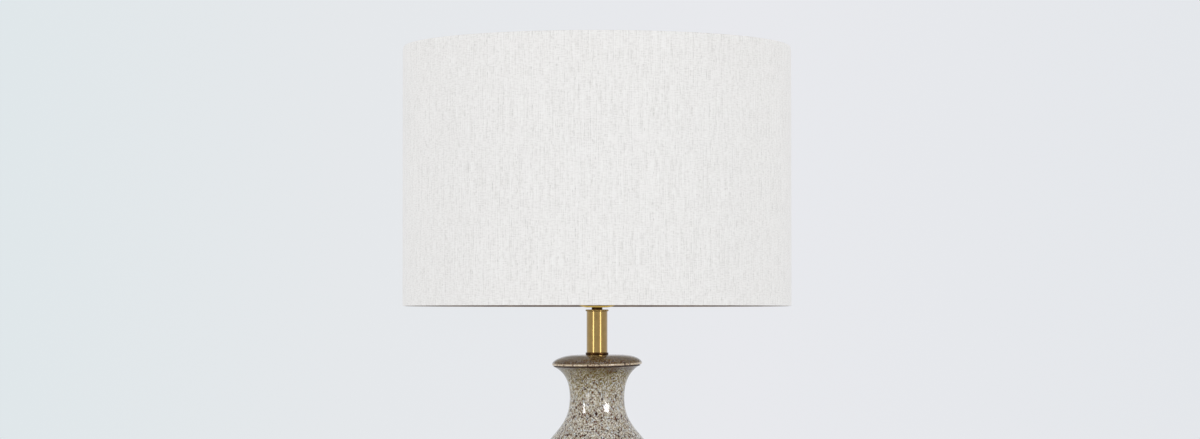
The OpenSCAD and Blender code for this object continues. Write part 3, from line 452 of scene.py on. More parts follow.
rod_r, rod_clear, rod_top = 4.85, 4.95, 423.4
pipe_pitch, pipe_depth, pipe_thread = 0.941, 0.54, 8.3
pipe = [(3.25, 8, 0.2), (4.4, 8), *bar_rows(4.58, pipe_thread, 12.6, pipe_pitch)]
pipe += [(rod_r, 12.8), (rod_r, rod_top), (3.25, rod_top)]
rod = lathe("threaded_pipe", pipe, zinc_steel, 48)
rod = wind(rod, pipe_pitch, pipe_depth, pipe_thread, 13, 4)
belong(rod, "base", "zinc_steel", "threaded_rod")
rubber = [(rod_clear, 20, 0.1), (15, 20, 0.5), (15, recess_top, 0.5), (rod_clear, recess_top, 0.1)]
belong(lathe("rubber_ring", rubber, moulded_rubber), "base", "black_rubber", "rubber_washer")
plate = [(rod_clear, 18.4, 0.1), (19, 18.4, 0.3), (19, 20, 0.3), (rod_clear, 20, 0.1)]
belong(lathe("steel_ring", plate, zinc_steel), "base", "zinc_steel", "bottom_washer")
for name in ("bottom_lock_washer", "bottom_nut"):
    nodes[name].material_slots[0].material = zinc_steel

# BRASS NECK
# A thin drawn tube stands on a dark turned ring and is closed by a turned brass cap. A small dark
# collar above the cap carries the harp's saddle.
# Antique brass: warm brown-gold, toned in streaks 1.5 mm wide along the draw and in clouds of
# 6 mm, and lacquered to a soft shine.
antique_brass, tree, shader = material(
    "Antique brass", {"Metallic": 1.0, "Coat Weight": 0.8, "Coat Roughness": 0.1}
)
place = add(tree, "ShaderNodeTexCoord").outputs["Object"]
draw = add(tree, "ShaderNodeMapping", {0: place}, {"Scale": (1, 1, 0.12)})
streak = add(tree, "ShaderNodeTexNoise", {0: draw}, {"Scale": 700, "Detail": 3})
cloud = add(tree, "ShaderNodeTexNoise", {0: place}, {"Scale": 160, "Detail": 4})
tarnish = add(tree, "ShaderNodeMath", {0: streak, 1: cloud}, operation="ADD")
tarnish = add(tree, "ShaderNodeMapRange", {0: tarnish}, {1: 0.6, 2: 1.4})
tone = add(tree, "ShaderNodeValToRGB", {0: tarnish}, stops=[(0, "#93753C"), (1, "#AB8B4C")])
tree.links.new(tone.outputs[0], shader.inputs["Base Color"])
dull = add(tree, "ShaderNodeMapRange", {0: tarnish}, {3: 0.13, 4: 0.1})
tree.links.new(dull.outputs[0], shader.inputs["Roughness"])
skin = add(tree, "ShaderNodeBump", {"Height": streak}, {"Strength": 0.005, "Distance": 0.0001})
tree.links.new(skin.outputs[0], shader.inputs["Normal"])
# Oil-rubbed bronze: brass darkened chemically to near black, in clouds of 2 mm, browner where it
# is handled.
dark_bronze = grained(
    "Oil rubbed bronze",
    {"Metallic": 1.0, "Roughness": 0.38},
    {"Scale": 500, "Detail": 3},
    tones=[(0.3, "#2A1C0E"), (0.75, "#553A1E")],
)
tube_foot, tube_top, tube_bore, cap_top = 366.4, 409.5, 10, 411.4
ring = [(rod_clear, seat), (11.9, seat, 0.5), (11.9, tube_foot, 0.4), (tube_bore, tube_foot)]
ring += [(tube_bore, 370.4, 0.3), (rod_clear, 370.4)]
belong(lathe("neck_ring", ring, dark_bronze), "base", "dark_bronze", "seat_ring")
tube = [(tube_bore, tube_foot), (11, tube_foot, 0.2), (11, tube_top, 0.2), (tube_bore, tube_top)]
belong(lathe("brass_tube", tube, antique_brass, 128), "base", "antique_brass", "neck_tube")
cap = [(rod_clear, 405.5), (tube_bore, 405.5, 0.3), (tube_bore, tube_top), (12.15, tube_top, 0.4)]
cap += [(12.15, cap_top, 0.7), (rod_clear, cap_top)]
belong(lathe("brass_cap", cap, antique_brass, 128), "base", "antique_brass", "neck_cap")
collar = [(rod_clear, cap_top), (5.65, cap_top, 0.2), (5.65, 413.6, 0.2), (rod_clear, 413.6)]
belong(lathe("dark_collar", collar, dark_bronze, 64), "base", "dark_bronze", "neck_collar")

# HARP SADDLE
# A brass strap, bent up on both sides and narrowed to a round shoulder, is clamped between the
# collar and the socket. Each end carries a half pin that laps the harp's leg inside its ferrule.


def joined(name, *parts):
    """The parts as one piece, with the first one's material."""
    work = bmesh.new()
    finish = parts[0].data.materials[0]
    for part in parts:
        work.from_mesh(part.data)
        bpy.data.objects.remove(part)
    mesh = bpy.data.meshes.new(name)
    work.to_mesh(mesh)
    work.free()
    mesh.materials.append(finish)
    piece = bpy.data.objects.new(name, mesh)
    bpy.context.scene.collection.objects.link(piece)
    smooth(piece)
    return piece


def block(low, high):
    """Box between two corners, to cut with."""
    points = [(x, y, z) for x in (low[0], high[0]) for y in (low[1], high[1]) for z in (low[2], high[2])]
    faces = [(0, 1, 3, 2), (4, 6, 7, 5), (0, 4, 5, 1), (2, 3, 7, 6), (0, 2, 6, 4), (1, 5, 7, 3)]
    return solid("cutter", points, faces, antique_brass)


def arc(x, z, r, start, end, count):
    """Stations (x, z, heading) round an arc, which turns left if end is over start."""
    way = 90 if end > start else -90
    stations = []
    for i in range(count + 1):
        a = start + (end - start) * i / count
        stations.append((x + r * math.cos(math.radians(a)), z + r * math.sin(math.radians(a)), a + way))
    return stations


# Bright brass: rolled, polished and lacquered strap, yellower and lighter than the toned tube
# beside it, partly as painted light that stands in for what the bow catches. Its rolling marks are
# drawn 1 mm apart so that they show.
brass_painted_lighter = grained(
    "Polished brass strap, painted lighter",
    {"Metallic": 1.0, "Coat Weight": 0.6, "Coat Roughness": 0.15},
    {"Scale": 900, "Detail": 3},
    (0.1, 1, 1),
    tones=[(0.3, "#D9B04E"), (0.7, "#ECC968")],
    gloss=(0.24, 0.38),
)
leg_x, shoulder_z, lap_z, lap_top = 31.75, 444, 447, 455
strap_z, bend_r = 414.5, 22.75
bend = arc(leg_x - bend_r, strap_z + bend_r, bend_r, -90, 0, 24)
half_strap = [(0, strap_z, 0), (5, strap_z, 0), *bend, (leg_x, 437.3, 90)]
half_strap += [(leg_x, z, 90) for z in range(438, 443)]
strap = [(-x, z, -a) for x, z, a in reversed(half_strap[1:])] + half_strap
half_wide, half_narrow, half_thick, edge_r = 6.25, 2.8, 0.9, 0.35
points, faces = [], []
for x, z, heading in strap:
    w = half_wide - (half_wide - half_narrow) * between(z, 435, 441)
    edge = [(-w, -half_thick), (w, -half_thick), (w, half_thick), (-w, half_thick)]
    edge = [(*corner, edge_r) for corner in edge]
    turn = math.radians(heading)
    points += [(x - up * math.sin(turn), y, z + up * math.cos(turn)) for y, up in outline(edge, 3)]
sides = len(points) // len(strap)
for i in range(len(strap) - 1):
    for k in range(sides):
        a, b = i * sides + k, i * sides + (k + 1) % sides
        faces.append((a, b, b + sides, a + sides))
faces += [tuple(range(sides)), tuple(range(len(points) - sides, len(points)))]
bow = solid("bow", points, faces, brass_painted_lighter)
rod_cutter = [(0, 410), (rod_clear, 410), (rod_clear, 420), (0, 420)]
cut(bow, lathe("cutter", rod_cutter, antique_brass, 48))
wire_r, ends = 1.6, []
for side in (-1, 1):
    post = Matrix.Translation((side * leg_x / 1000, 0, 0))
    pin = [(0, 441), (half_narrow, 441, 0.3), (half_narrow, shoulder_z, 0.3), (wire_r, shoulder_z)]
    pin = lathe("pin", [*pin, (wire_r, lap_top, 0.3), (0, lap_top)], antique_brass, 48, post)
    cut(pin, block((side * leg_x - 3, 0, lap_z), (side * leg_x + 3, 3, lap_top + 1)))
    ends.append(pin)
belong(joined("saddle_strap", bow, *ends), "base", "antique_brass", "harp_saddle")

# SOCKET
# A spun brass cap screws on the rod and is locked by a set screw. The drawn shell snaps into it
# over a fibre sleeve, and holds a moulded insulating body with the screw shell and the contacts.
bell = [math.radians(-90 + 7.5 * i) for i in range(13)]
bell = [(math.cos(a), math.sin(a)) for a in bell]
stem_r, bell_z = 7.6, 430.4
spun = [(rod_r, 415.4), (stem_r, 415.4, 0.3), (stem_r, 421.4)]
spun += [(stem_r + 9.6 * c, bell_z + 9 * s) for c, s in bell[1:]] + [(17.2, 437.4, 0.2), (16.3, 437.4, 0.2)]
spun += [(stem_r + 8.7 * c, bell_z + 8.1 * s) for c, s in reversed(bell)] + [(6.6, rod_top), (rod_r, rod_top)]
belong(lathe("socket_bell", spun, antique_brass), "base", "antique_brass", "socket_cap")
drawn = [(15.5, 431.4), (16.2, 431.4), (16.2, 437.4), (17.2, 437.4, 0.3), (17.5, 438.6, 0.8)]
drawn += [(17.2, 439.8, 0.4), (16.2, 440.4, 0.3), (16.2, 476.4, 1), (17, 479.4, 0.2)]
drawn += [(16.3, 479.4, 0.2), (15.5, 476.2, 1)]
belong(lathe("socket_tube", drawn, antique_brass), "base", "antique_brass", "socket_shell")
# Vulcanised fibre: dense brown-black paper board, dull, with a faint mottling 1 mm wide.
fibre = grained(
    "Vulcanised fibre",
    {"Roughness": 0.7},
    {"Scale": 900, "Detail": 3},
    tones=[(0.3, "#3E2C1F"), (0.7, "#5E4430")],
)
sleeve = [(14.7, 431.4), (15.5, 431.4), (15.5, 480.4, 0.2), (14.7, 480.4, 0.2)]
belong(lathe("fibre_sleeve", sleeve, fibre), "base", "fibre", "socket_liner")
# Moulded phenolic: near black, with swirls of filler 2.5 mm wide and a satin gloss.
phenolic = grained(
    "Moulded phenolic",
    {"IOR": 1.6},
    {"Scale": 400, "Detail": 5, "Distortion": 2},
    tones=[(0.35, "#17120E"), (0.75, "#2B221A")],
    gloss=(0.28, 0.42),
)
# Contact brass: bright rolled sheet, yellower than the fittings. Its rolling grain is drawn 0.8 mm
# wide so that it shows.
contact_brass = grained(
    "Rolled contact brass",
    {"Metallic": 1.0},
    {"Scale": 1200, "Detail": 2},
    (1, 1, 0.1),
    tones=[(0.3, "#B8974F"), (0.7, "#D0B26A")],
    gloss=(0.22, 0.36),
)
screw_pitch, screw_depth = 3.629, 0.7
shell_in, shell_out = (bar_rows(r, 456.4, 477.4, screw_pitch) for r in (13, 13.4))
rolled = [(8, 454.4), (13.4, 454.4, 0.4), *shell_out, (13.7, 478.4), (13.3, 478.4), *reversed(shell_in)]
rolled = lathe("screw_sleeve", [*rolled, (13, 454.8, 0.2), (8, 454.8)], contact_brass)
rolled = wind(rolled, screw_pitch, screw_depth, 456, 478, 12)
belong(rolled, "base", "contact_brass", "screw_shell")
for name, finish in (
    ("socket_set_screw", zinc_steel),
    ("socket_insulator", phenolic),
    ("centre_contact", contact_brass),
    ("terminal_screws", contact_brass),
):
    nodes[name].material_slots[0].material = finish

# SWITCH
# A rotary switch in the insulating body: its black collar fills the hole in the shell, and its
# brass shaft carries a moulded knob with fourteen flutes, which Geometry Nodes press into it.
switch_z, knob_seat = 445.4, 18
to_front = Matrix.Translation((0, 0, switch_z / 1000)) @ Matrix.Rotation(math.pi / 2, 4, "X")
bush = [(2.1, 13.3), (4.5, 13.3), (4.5, 17.7, 0.4), (2.1, 17.7, 0.2)]
belong(lathe("switch_bush", bush, phenolic, 48, to_front), "base", "phenolic", "switch_collar")
nodes["switch_shaft"].material_slots[0].material = contact_brass
fluting, given = rule(
    "Flutes round a knob",
    {"Flutes": "Int", **dict.fromkeys(("Depth", "Plain radius", "Fluted radius", "Bottom"), "Float")},
)
spot = add(fluting, "GeometryNodeInputPosition")
axes = add(fluting, "ShaderNodeSeparateXYZ", {0: spot}).outputs
turn = add(fluting, "ShaderNodeMath", {0: axes[1], 1: axes[0]}, operation="ARCTAN2")
turn = add(fluting, "ShaderNodeMath", {0: turn, 1: given["Flutes"]}, operation="MULTIPLY")
wave = add(fluting, "ShaderNodeMath", {0: turn}, operation="COSINE")
wave = add(fluting, "ShaderNodeMapRange", {0: wave}, {1: 0.25, 2: 1.0}, interpolation_type="SMOOTHSTEP")
flat = add(fluting, "ShaderNodeVectorMath", {0: spot}, {1: (1, 1, 0)}, operation="MULTIPLY")
across = add(fluting, "ShaderNodeVectorMath", {0: flat}, operation="LENGTH").outputs["Value"]
grip = add(fluting, "ShaderNodeMapRange", {0: across, 1: given["Plain radius"], 2: given["Fluted radius"]})
run_in = 0.0012
start = add(fluting, "ShaderNodeMath", {0: given["Bottom"]}, {1: run_in}, operation="ADD")
start = add(fluting, "ShaderNodeMapRange", {0: axes[2], 1: given["Bottom"], 2: start})
press = add(fluting, "ShaderNodeMath", {0: wave, 1: given["Depth"]}, operation="MULTIPLY")
for share in (grip, start):
    press = add(fluting, "ShaderNodeMath", {0: press, 1: share}, operation="MULTIPLY")
press = add(fluting, "ShaderNodeMath", {0: press}, {1: -1}, operation="MULTIPLY")
way = add(fluting, "ShaderNodeVectorMath", {0: flat}, operation="NORMALIZE")
move = add(fluting, "ShaderNodeVectorMath", {0: way, "Scale": press}, operation="SCALE")
end_rule(fluting, add(fluting, "GeometryNodeSetPosition", {"Geometry": given["Geometry"], "Offset": move}))
knob = [(2, 0), (4.1, 0, 0.3), (4.5, 2, 0.4), (6.5, 3.4, 0.5), *((6.5, 4.4 + i) for i in range(9))]
knob += [(6.5, 13.6), (6.3, 14.3), (5.7, 14.8), (4.9, 15), (0, 15.3), (0, 12), (2, 12)]
knob = shape_by(
    lathe("switch_grip", knob, phenolic, 168),
    fluting,
    {"Flutes": 14, "Depth": 0.00055, "Plain radius": 0.005, "Fluted radius": 0.0062, "Bottom": 0.0036},
    50,
)
knob.data.transform(to_front @ Matrix.Translation((0, 0, knob_seat / 1000)))
belong(knob, "switch", "phenolic", "switch_knob")

# BULB
# An A19 bulb: rolled nickel-plated cap with its tip, a white moulded housing, the board behind the
# dome, and the blown opal dome. Its thread is wound by the same rule as the socket's, in phase.
# Opal polycarbonate: milky and smooth, with a haze 4 mm wide and a little light scattered under
# its skin.
opal = grained(
    "Opal polycarbonate",
    {"Base Color": "#F1EFE8", "IOR": 1.58, "Subsurface Weight": 0.25, "Subsurface Scale": 0.002},
    {"Scale": 250, "Detail": 2},
    gloss=(0.28, 0.36),
)
# Moulded white plastic: an even mould grain, drawn 0.5 mm wide, over a soft gloss.
white_plastic = grained(
    "Moulded white plastic",
    {"Base Color": "#E4E3DD", "IOR": 1.53},
    {"Scale": 2200, "Detail": 1},
    gloss=(0.34, 0.48),
    bump=(0.15, 0.0001),
)
# White solder-mask board: flat white ink over aluminium, clouded every 1.3 mm.
board_white = grained(
    "Solder mask on aluminium",
    {"Roughness": 0.45},
    {"Scale": 800, "Detail": 2},
    tones=[(0.3, "#D4D6D2"), (0.7, "#E2E3DF")],
)
# Nickel plate on rolled sheet: warm grey, burnished unevenly in patches 1.5 mm wide.
nickel = grained(
    "Nickel plated sheet",
    {"Metallic": 1.0},
    {"Scale": 650, "Detail": 3},
    tones=[(0.3, "#A8A59B"), (0.7, "#C2BFB6")],
    gloss=(0.2, 0.34),
)
inner, outer = (bar_rows(r, 462.8, 482, screw_pitch) for r in (12.25, 12.65))
cap = [(8, 462), (11.4, 462.4, 0.4), *outer, (13, 482.6, 0.2), (13, 483.8), (11.9, 483.8), *reversed(inner)]
cap = lathe("bulb_screw", [*cap, (11, 462.9), (8, 462.5)], nickel)
cap = wind(cap, screw_pitch, screw_depth, 462.2, 482.6, 11.5)
belong(cap, "bulb", "nickel_cap", "bulb_cap")
glass = [(0, 458.8), (4, 458.8), (8, 462, 0.5), (8, 463.4), (0, 463.4)]
belong(lathe("bulb_tip_bead", glass, phenolic, 64), "bulb", "phenolic", "bulb_tip_insulator")
tip = [(0, 457.8), (2.2, 457.8, 0.8), (3.4, 458.3, 0.5), (3.8, 458.8), (0, 458.8)]
belong(lathe("bulb_tip_pad", tip, zinc_steel, 48), "bulb", "zinc_steel", "bulb_tip_contact")
skirt = [(13, 483.8), (13.8, 496.8), (27, 505.8), (28.8, 521.8)]
lining = curve(skirt, 16, -1.6)
moulded = [(10.9, 477.8), (11.9, 477.8), (11.9, 483.8), *curve(skirt, 22), (24, 521.8, 0.2), (24, 520.2)]
moulded += [(22, 520.2), (22, lining[14][1]), *reversed(lining[1:14]), (10.9, 485.8)]
belong(lathe("bulb_body", moulded, white_plastic, 120), "bulb", "white_plastic", "bulb_housing")
nodes["bulb_led_board"].material_slots[0].material = board_white
crown_z, crown_r, dome_wall = 537.8, 30, 1.2
edge = [(28.8, 521.8), (29.4, 528.2), (30, 533), (crown_r, crown_z)]
blown, hollow = curve(edge, 8), curve(edge, 8, -dome_wall)
angles = [math.radians(4.5 * i) for i in range(1, 20)]
for wall, r in ((blown, crown_r), (hollow, crown_r - dome_wall)):
    wall += [(r * math.cos(a), crown_z + r * math.sin(a)) for a in angles] + [(0, crown_z + r)]
dome = [*blown, *reversed(hollow[1:]), (hollow[0][0], 521.8)]
belong(lathe("bulb_globe", dome, opal, 120), "bulb", "opal_plastic", "bulb_dome")

# HARP
# One brass wire, bent to a lyre, is brazed into the boss under the seat. Geometry Nodes sweep the
# wire along its path. Each leg ends in a half lap, and the seat's stud has a 1/4-27 thread.
sweeping, given = rule("Bent wire", {"Wire radius": "Float", "Sides": "Int", "Copies": "Int"})
path = add(sweeping, "GeometryNodeMeshToCurve", {0: given["Geometry"]})
round_bar = {"Resolution": given["Sides"], "Radius": given["Wire radius"]}
section = add(sweeping, "GeometryNodeCurvePrimitiveCircle", round_bar)
swept = add(sweeping, "GeometryNodeCurveToMesh", {0: path, 1: section}, {"Fill Caps": True})
dots = add(sweeping, "GeometryNodeMeshLine", {"Count": given["Copies"]}, {"Offset": (0, 0, 0)})
share = add(sweeping, "ShaderNodeMath", {1: given["Copies"]}, {0: 2 * math.pi}, operation="DIVIDE")
index = add(sweeping, "GeometryNodeInputIndex")
angle = add(sweeping, "ShaderNodeMath", {0: share, 1: index}, operation="MULTIPLY")
angle = add(sweeping, "ShaderNodeCombineXYZ", {2: angle})
copies = add(sweeping, "GeometryNodeInstanceOnPoints", {"Points": dots, "Instance": swept, "Rotation": angle})
end_rule(sweeping, copies)


def wire(name, stations, radius, finish, sides=20, copies=1, closed=False):
    """Round wire along points in millimetres, repeated round the axis."""
    n = len(stations)
    mesh = bpy.data.meshes.new(name)
    edges = [(i, (i + 1) % n) for i in range(n if closed else n - 1)]
    mesh.from_pydata([tuple(value / 1000 for value in p) for p in stations], edges, [])
    mesh.materials.append(finish)
    piece = bpy.data.objects.new(name, mesh)
    bpy.context.scene.collection.objects.link(piece)
    return shape_by(piece, sweeping, {"Wire radius": radius / 1000, "Sides": sides, "Copies": copies}, 50)


knee, side_arc = arc(76.75, 471, 45, 180, 152, 12), arc(-90.078, 559.704, 143.944, -28, 33.034, 36)
crown = arc(8.8, 624, 26, 33.034, 90, 20)
half_harp = [(leg_x, lap_z, 90), (leg_x, 459, 90), *knee, *side_arc[1:], *crown[1:]]
harp_path = [(x, 0, z) for x, z, _ in half_harp] + [(-x, 0, z) for x, z, _ in reversed(half_harp)]
harp = wire("harp_wire", harp_path, wire_r, antique_brass, 24)
laps = [block((s * leg_x - 3, -3, lap_z - 1), (s * leg_x + 3, 0, lap_top)) for s in (-1, 1)]
cut(harp, *laps)
belong(harp, "harp", "antique_brass", "harp_frame")
stud = [(0, 647), (7, 647, 0.6), (7, 653), (11, 653, 0.4), (11, 655, 0.4), (3.05, 655)]
stud_pitch, stud_depth = 0.94, 0.45
stud += [*bar_rows(2.95, 655.4, 667, stud_pitch), (2.5, 668), (0, 668)]
stud = wind(lathe("harp_stud", stud, antique_brass, 72), stud_pitch, stud_depth, 655.3, 667.4, 1)
belong(stud, "harp", "antique_brass", "harp_seat")

# FERRULES
# Two sleeves turned from brass, with a bead at each end, drop over the half laps of the harp's
# legs and the saddle's pins, and lock them by their own weight.
sleeve = [(1.7, 0, 0.1), (3.2, 0, 0.3), (3.2, 1.6, 0.4), (2.7, 2.2, 0.4), (2.7, 11.8, 0.4), (3.2, 12.4, 0.4)]
sleeve += [(3.2, 14, 0.5), (1.7, 14, 0.1)]
for side, body in ((-1, "ferrule_l"), (1, "ferrule_r")):
    word = "left" if side < 0 else "right"
    spot = Matrix.Translation((side * leg_x / 1000, 0, shoulder_z / 1000))
    piece = lathe(f"sleeve_{word}", sleeve, antique_brass, 64, spot)
    belong(piece, body, "antique_brass", f"ferrule_{word}")

# SHADE
# Linen is laminated to a stiff white styrene drum, overlaps itself in a seam at the back, and is
# hemmed in over both edges round two wire rings. The lower ring, painted bronze, shows below it.
# Styrene sheet: smooth white, with faint calender marks 3 mm apart round the drum.
styrene = grained(
    "White styrene sheet",
    {"Base Color": "#EDEBE5", "IOR": 1.55},
    {"Scale": 300, "Detail": 3},
    (0.2, 0.2, 1),
    gloss=(0.45, 0.6),
)
shade_bottom, shade_top, shade_r = 415.1, 685.8, 203.2
drum_r, drum_bottom, drum_top, styrene_wall = 202.6, 415.7, 683.4, 0.6
drum_in = drum_r - styrene_wall
drum_edge = [(drum_in, drum_bottom), (drum_r, drum_bottom), (drum_r, drum_top), (drum_in, drum_top)]
drum = lathe("shade_drum", drum_edge, styrene, 240)
belong(drum, "shade", "white_lining", "shade_liner")

# Slub linen: off-white plain weave with thick and thin warp yarns up the shade, grey-beige flecks
# and nubs. The yarns, really 0.5 mm apart, are drawn 1.1 mm apart so that they show.
linen, tree, shader = material(
    "Woven slub linen", {"Roughness": 0.9, "Sheen Weight": 0.15, "Sheen Roughness": 0.4, "IOR": 1.45}
)
cloth = add(tree, "ShaderNodeUVMap", uv_map="yarns")
warp = add(tree, "ShaderNodeMapping", {0: cloth}, {"Scale": (900, 75, 1)})
warp = add(tree, "ShaderNodeTexNoise", {0: warp}, {"Scale": 1, "Detail": 3, "Roughness": 0.85})
thread = add(tree, "ShaderNodeMapping", {0: cloth}, {"Scale": (860, 14, 1)})
thread = add(tree, "ShaderNodeTexNoise", {0: thread}, {"Scale": 1, "Detail": 1})
weft = add(tree, "ShaderNodeMapping", {0: cloth}, {"Scale": (190, 900, 1)})
weft = add(tree, "ShaderNodeTexNoise", {0: weft}, {"Scale": 1, "Detail": 2})
yarn = add(tree, "ShaderNodeMath", {0: warp}, {1: 0.7}, operation="MULTIPLY")
yarn = add(tree, "ShaderNodeMath", {0: weft, 2: yarn}, {1: 0.5}, operation="MULTIPLY_ADD")
yarn = add(tree, "ShaderNodeMath", {0: thread, 2: yarn}, {1: 0.32}, operation="MULTIPLY_ADD")
undyed = [(0.58, "#D9D7D3"), (0.94, "#F3F2EF"), (0.76, "#ECEAE7")]
tone = add(tree, "ShaderNodeValToRGB", {0: yarn}, stops=undyed)
# Nubs are short thick places in a yarn, and flecks are longer coloured fibres.
nub_place = add(tree, "ShaderNodeMapping", {0: cloth}, {"Scale": (760, 170, 1)})
nubs = add(tree, "ShaderNodeTexVoronoi", {0: nub_place}, {"Scale": 1})
kept = add(tree, "ShaderNodeSeparateColor", {0: nubs.outputs["Color"]})
size = add(tree, "ShaderNodeMapRange", {0: kept}, {1: 0.6, 2: 1, 3: -0.05, 4: 0.4})
nub = add(tree, "ShaderNodeMath", {0: size, 1: nubs.outputs["Distance"]}, operation="SUBTRACT")
nub = add(tree, "ShaderNodeMapRange", {0: nub}, {1: 0, 2: 0.16, 4: 0.4})
fleck_place = add(tree, "ShaderNodeMapping", {0: cloth}, {"Scale": (640, 55, 1), "Location": (3, 7, 0)})
flecks = add(tree, "ShaderNodeTexNoise", {0: fleck_place}, {"Scale": 1, "Detail": 1})
fleck = add(tree, "ShaderNodeMapRange", {0: flecks}, {1: 0.64, 2: 0.8, 4: 0.4})
mark = add(tree, "ShaderNodeMath", {0: nub, 1: fleck}, operation="MAXIMUM")
dyed = add(tree, "ShaderNodeMix", {0: mark, 6: tone}, {7: colour("#B3B0AB")}, data_type="RGBA")
tree.links.new(dyed.outputs[2], shader.inputs["Base Color"])
relief = add(tree, "ShaderNodeMath", {0: yarn, 1: mark}, operation="ADD")
skin = add(tree, "ShaderNodeBump", {"Height": relief}, {"Strength": 0.3, "Distance": 0.0003})
tree.links.new(skin.outputs[0], shader.inputs["Normal"])
low_row, high_row = shade_bottom + 0.7, 680.6
cloth_rows = [(shade_r, low_row + (high_row - low_row) * i / 36) for i in range(37)]
rolled_edge = [(shade_r, 681), (shade_r, 684), (202.7, shade_top), (201.7, shade_top)]
hem_r, hem_low, hem_high = 201.4, 424.1, 676.8
tube = [(shade_r, shade_bottom, 0.5), *cloth_rows, *curve(rolled_edge, 8), (hem_r, 685.5)]
tube += [(hem_r, hem_high, 0.25), (drum_in, hem_high), *reversed(drum_edge), (drum_in, hem_low)]
tube += [(hem_r, hem_low, 0.25), (hem_r, shade_bottom, 0.5)]
cloth = lathe("shade_linen", tube, linen, 720)
# At the back the linen's end laps over its start, and rises there by one more layer.
seam_lap, lead_in, second_layer, glued_r = 12, 24, 0.5, 202.65
flap_end = seam_lap / 2
flap_start = -flap_end - lead_in
for vertex in cloth.data.vertices:
    x, y = (1000 * value for value in vertex.co.xy)
    r = math.hypot(x, y)
    past = r * math.atan2(x, y)
    if r > glued_r and flap_start < past < flap_end:
        risen = between(past, flap_start, flap_start + lead_in) * (r - glued_r) / (shade_r - glued_r)
        vertex.co.xy *= 1 + second_layer / shade_r * risen
    elif r > glued_r + 0.25 and flap_end < past < flap_end + 1.2:
        vertex.co.rotate(Matrix.Rotation((past - flap_end + 0.4) / shade_r, 3, "Z"))
# The yarns' map runs round the drum and up it, in metres.
yarns = cloth.data.uv_layers.new(name="yarns")
for face in cloth.data.polygons:
    around = [math.atan2(*(cloth.data.vertices[v].co.xy * Vector((1, -1)))) for v in face.vertices]
    wraps = max(around) - min(around) > math.pi
    for corner, v, a in zip(face.loop_indices, face.vertices, around):
        a += 2 * math.pi if wraps and a < 0 else 0
        yarns.data[corner].uv = (a * shade_r / 1000, cloth.data.vertices[v].co.z)
belong(cloth, "shade", "linen", "shade_fabric")

# RINGS AND SPIDER
# Both rings are bent wire, butt welded. Three arms drop from the top ring, bend and run level into
# the punched hub that sits on the harp's stud.


def circle(r, z, count=180):
    """Points round a level circle."""
    turns = [2 * math.pi * i / count for i in range(count)]
    return [(r * math.cos(a), r * math.sin(a), z) for a in turns]


# Painted wire: bronze-brown enamel, half matt, lighter every 15 mm or so where it is worn.
painted_wire = grained(
    "Bronze enamel on wire",
    {"Roughness": 0.5, "IOR": 1.5},
    {"Scale": 60, "Detail": 3},
    tones=[(0.3, "#54412E"), (0.75, "#8A745C")],
)
ring_r = 199.8
for name, z, finish, slot, node in (
    ("upper_ring", 683.6, antique_brass, "antique_brass", "shade_top_ring"),
    ("lower_ring", 416.5, painted_wire, "dark_bronze", "shade_bottom_ring"),
):
    belong(wire(name, circle(ring_r, z), 1.6, finish, 16, closed=True), "shade", slot, node)
spider_z, bend = 656.6, 6
arm = [(0, 12.3, spider_z), (0, ring_r - bend, spider_z)]
for i in range(1, 11):
    a = math.radians(9 * i)
    arm.append((0, ring_r - bend + bend * math.sin(a), spider_z + bend - bend * math.cos(a)))
arm.append((0, ring_r, 682.2))
belong(wire("spider_wires", arm, 1.4, antique_brass, 16, 3), "shade", "antique_brass", "spider_arms")
hub = [(3.5, 655, 0.2), (12.5, 655, 0.6), (12.5, 658.2, 0.6), (3.5, 658.2, 0.2)]
belong(lathe("spider_disc", hub, antique_brass), "shade", "antique_brass", "spider_hub")

# FINIAL
# A nut turned from solid brass, with a foot, cove, ball and button. Its blind threaded bore screws
# down the harp's stud and holds the shade's hub on it.
base_z, ball_z, ball_r = 658.2, 15, 9
cove = [(6, 2.2), (5, 2.5), (4.7, 3.8), (4.7, 7.1)]
turned = [(3.275, 0, 0.2), (7, 0, 0.4), (7, 1.4, 0.3), (6.4, 2.2, 0.1), *curve(cove, 10)[1:]]
ball = [math.radians(-56 + 6 * i) for i in range(22)]
turned += [(ball_r * math.cos(a), ball_z + ball_r * math.sin(a)) for a in ball]
turned += [(2.5, 24.2), (2.6, 24.6), (3, 25.4), (2.9, 26.4), (2.2, 27.3), (1.1, 27.9), (0, 28)]
turned += [(0, 11), (3.275, 11)]
turned = lathe("finial_knob", [(r, base_z + z, *f) for r, z, *f in turned], antique_brass, 120)
belong(turned, "finial_screw", "antique_brass", "finial")

# STUDIO
# A pale floor fades out to the pale surroundings, and from below it is clear to the camera. Two
# panels stand in front, with a fill on each side that only diffuse light sees, and two windows that
# only gloss sees, for the reflections on the waist. The camera is tilted up by 1.171 degrees.
floor_r, floor_sides = 2.4, 96
floor_points = [(0, 0, 0), *circle(floor_r, 0, floor_sides)]
floor_faces = [(0, i, i % floor_sides + 1) for i in range(1, floor_sides + 1)]
floor_mesh = bpy.data.meshes.new("floor")
floor_mesh.from_pydata(floor_points, [], floor_faces)
floor = bpy.data.objects.new("studio_floor", floor_mesh)
bpy.context.scene.collection.objects.link(floor)
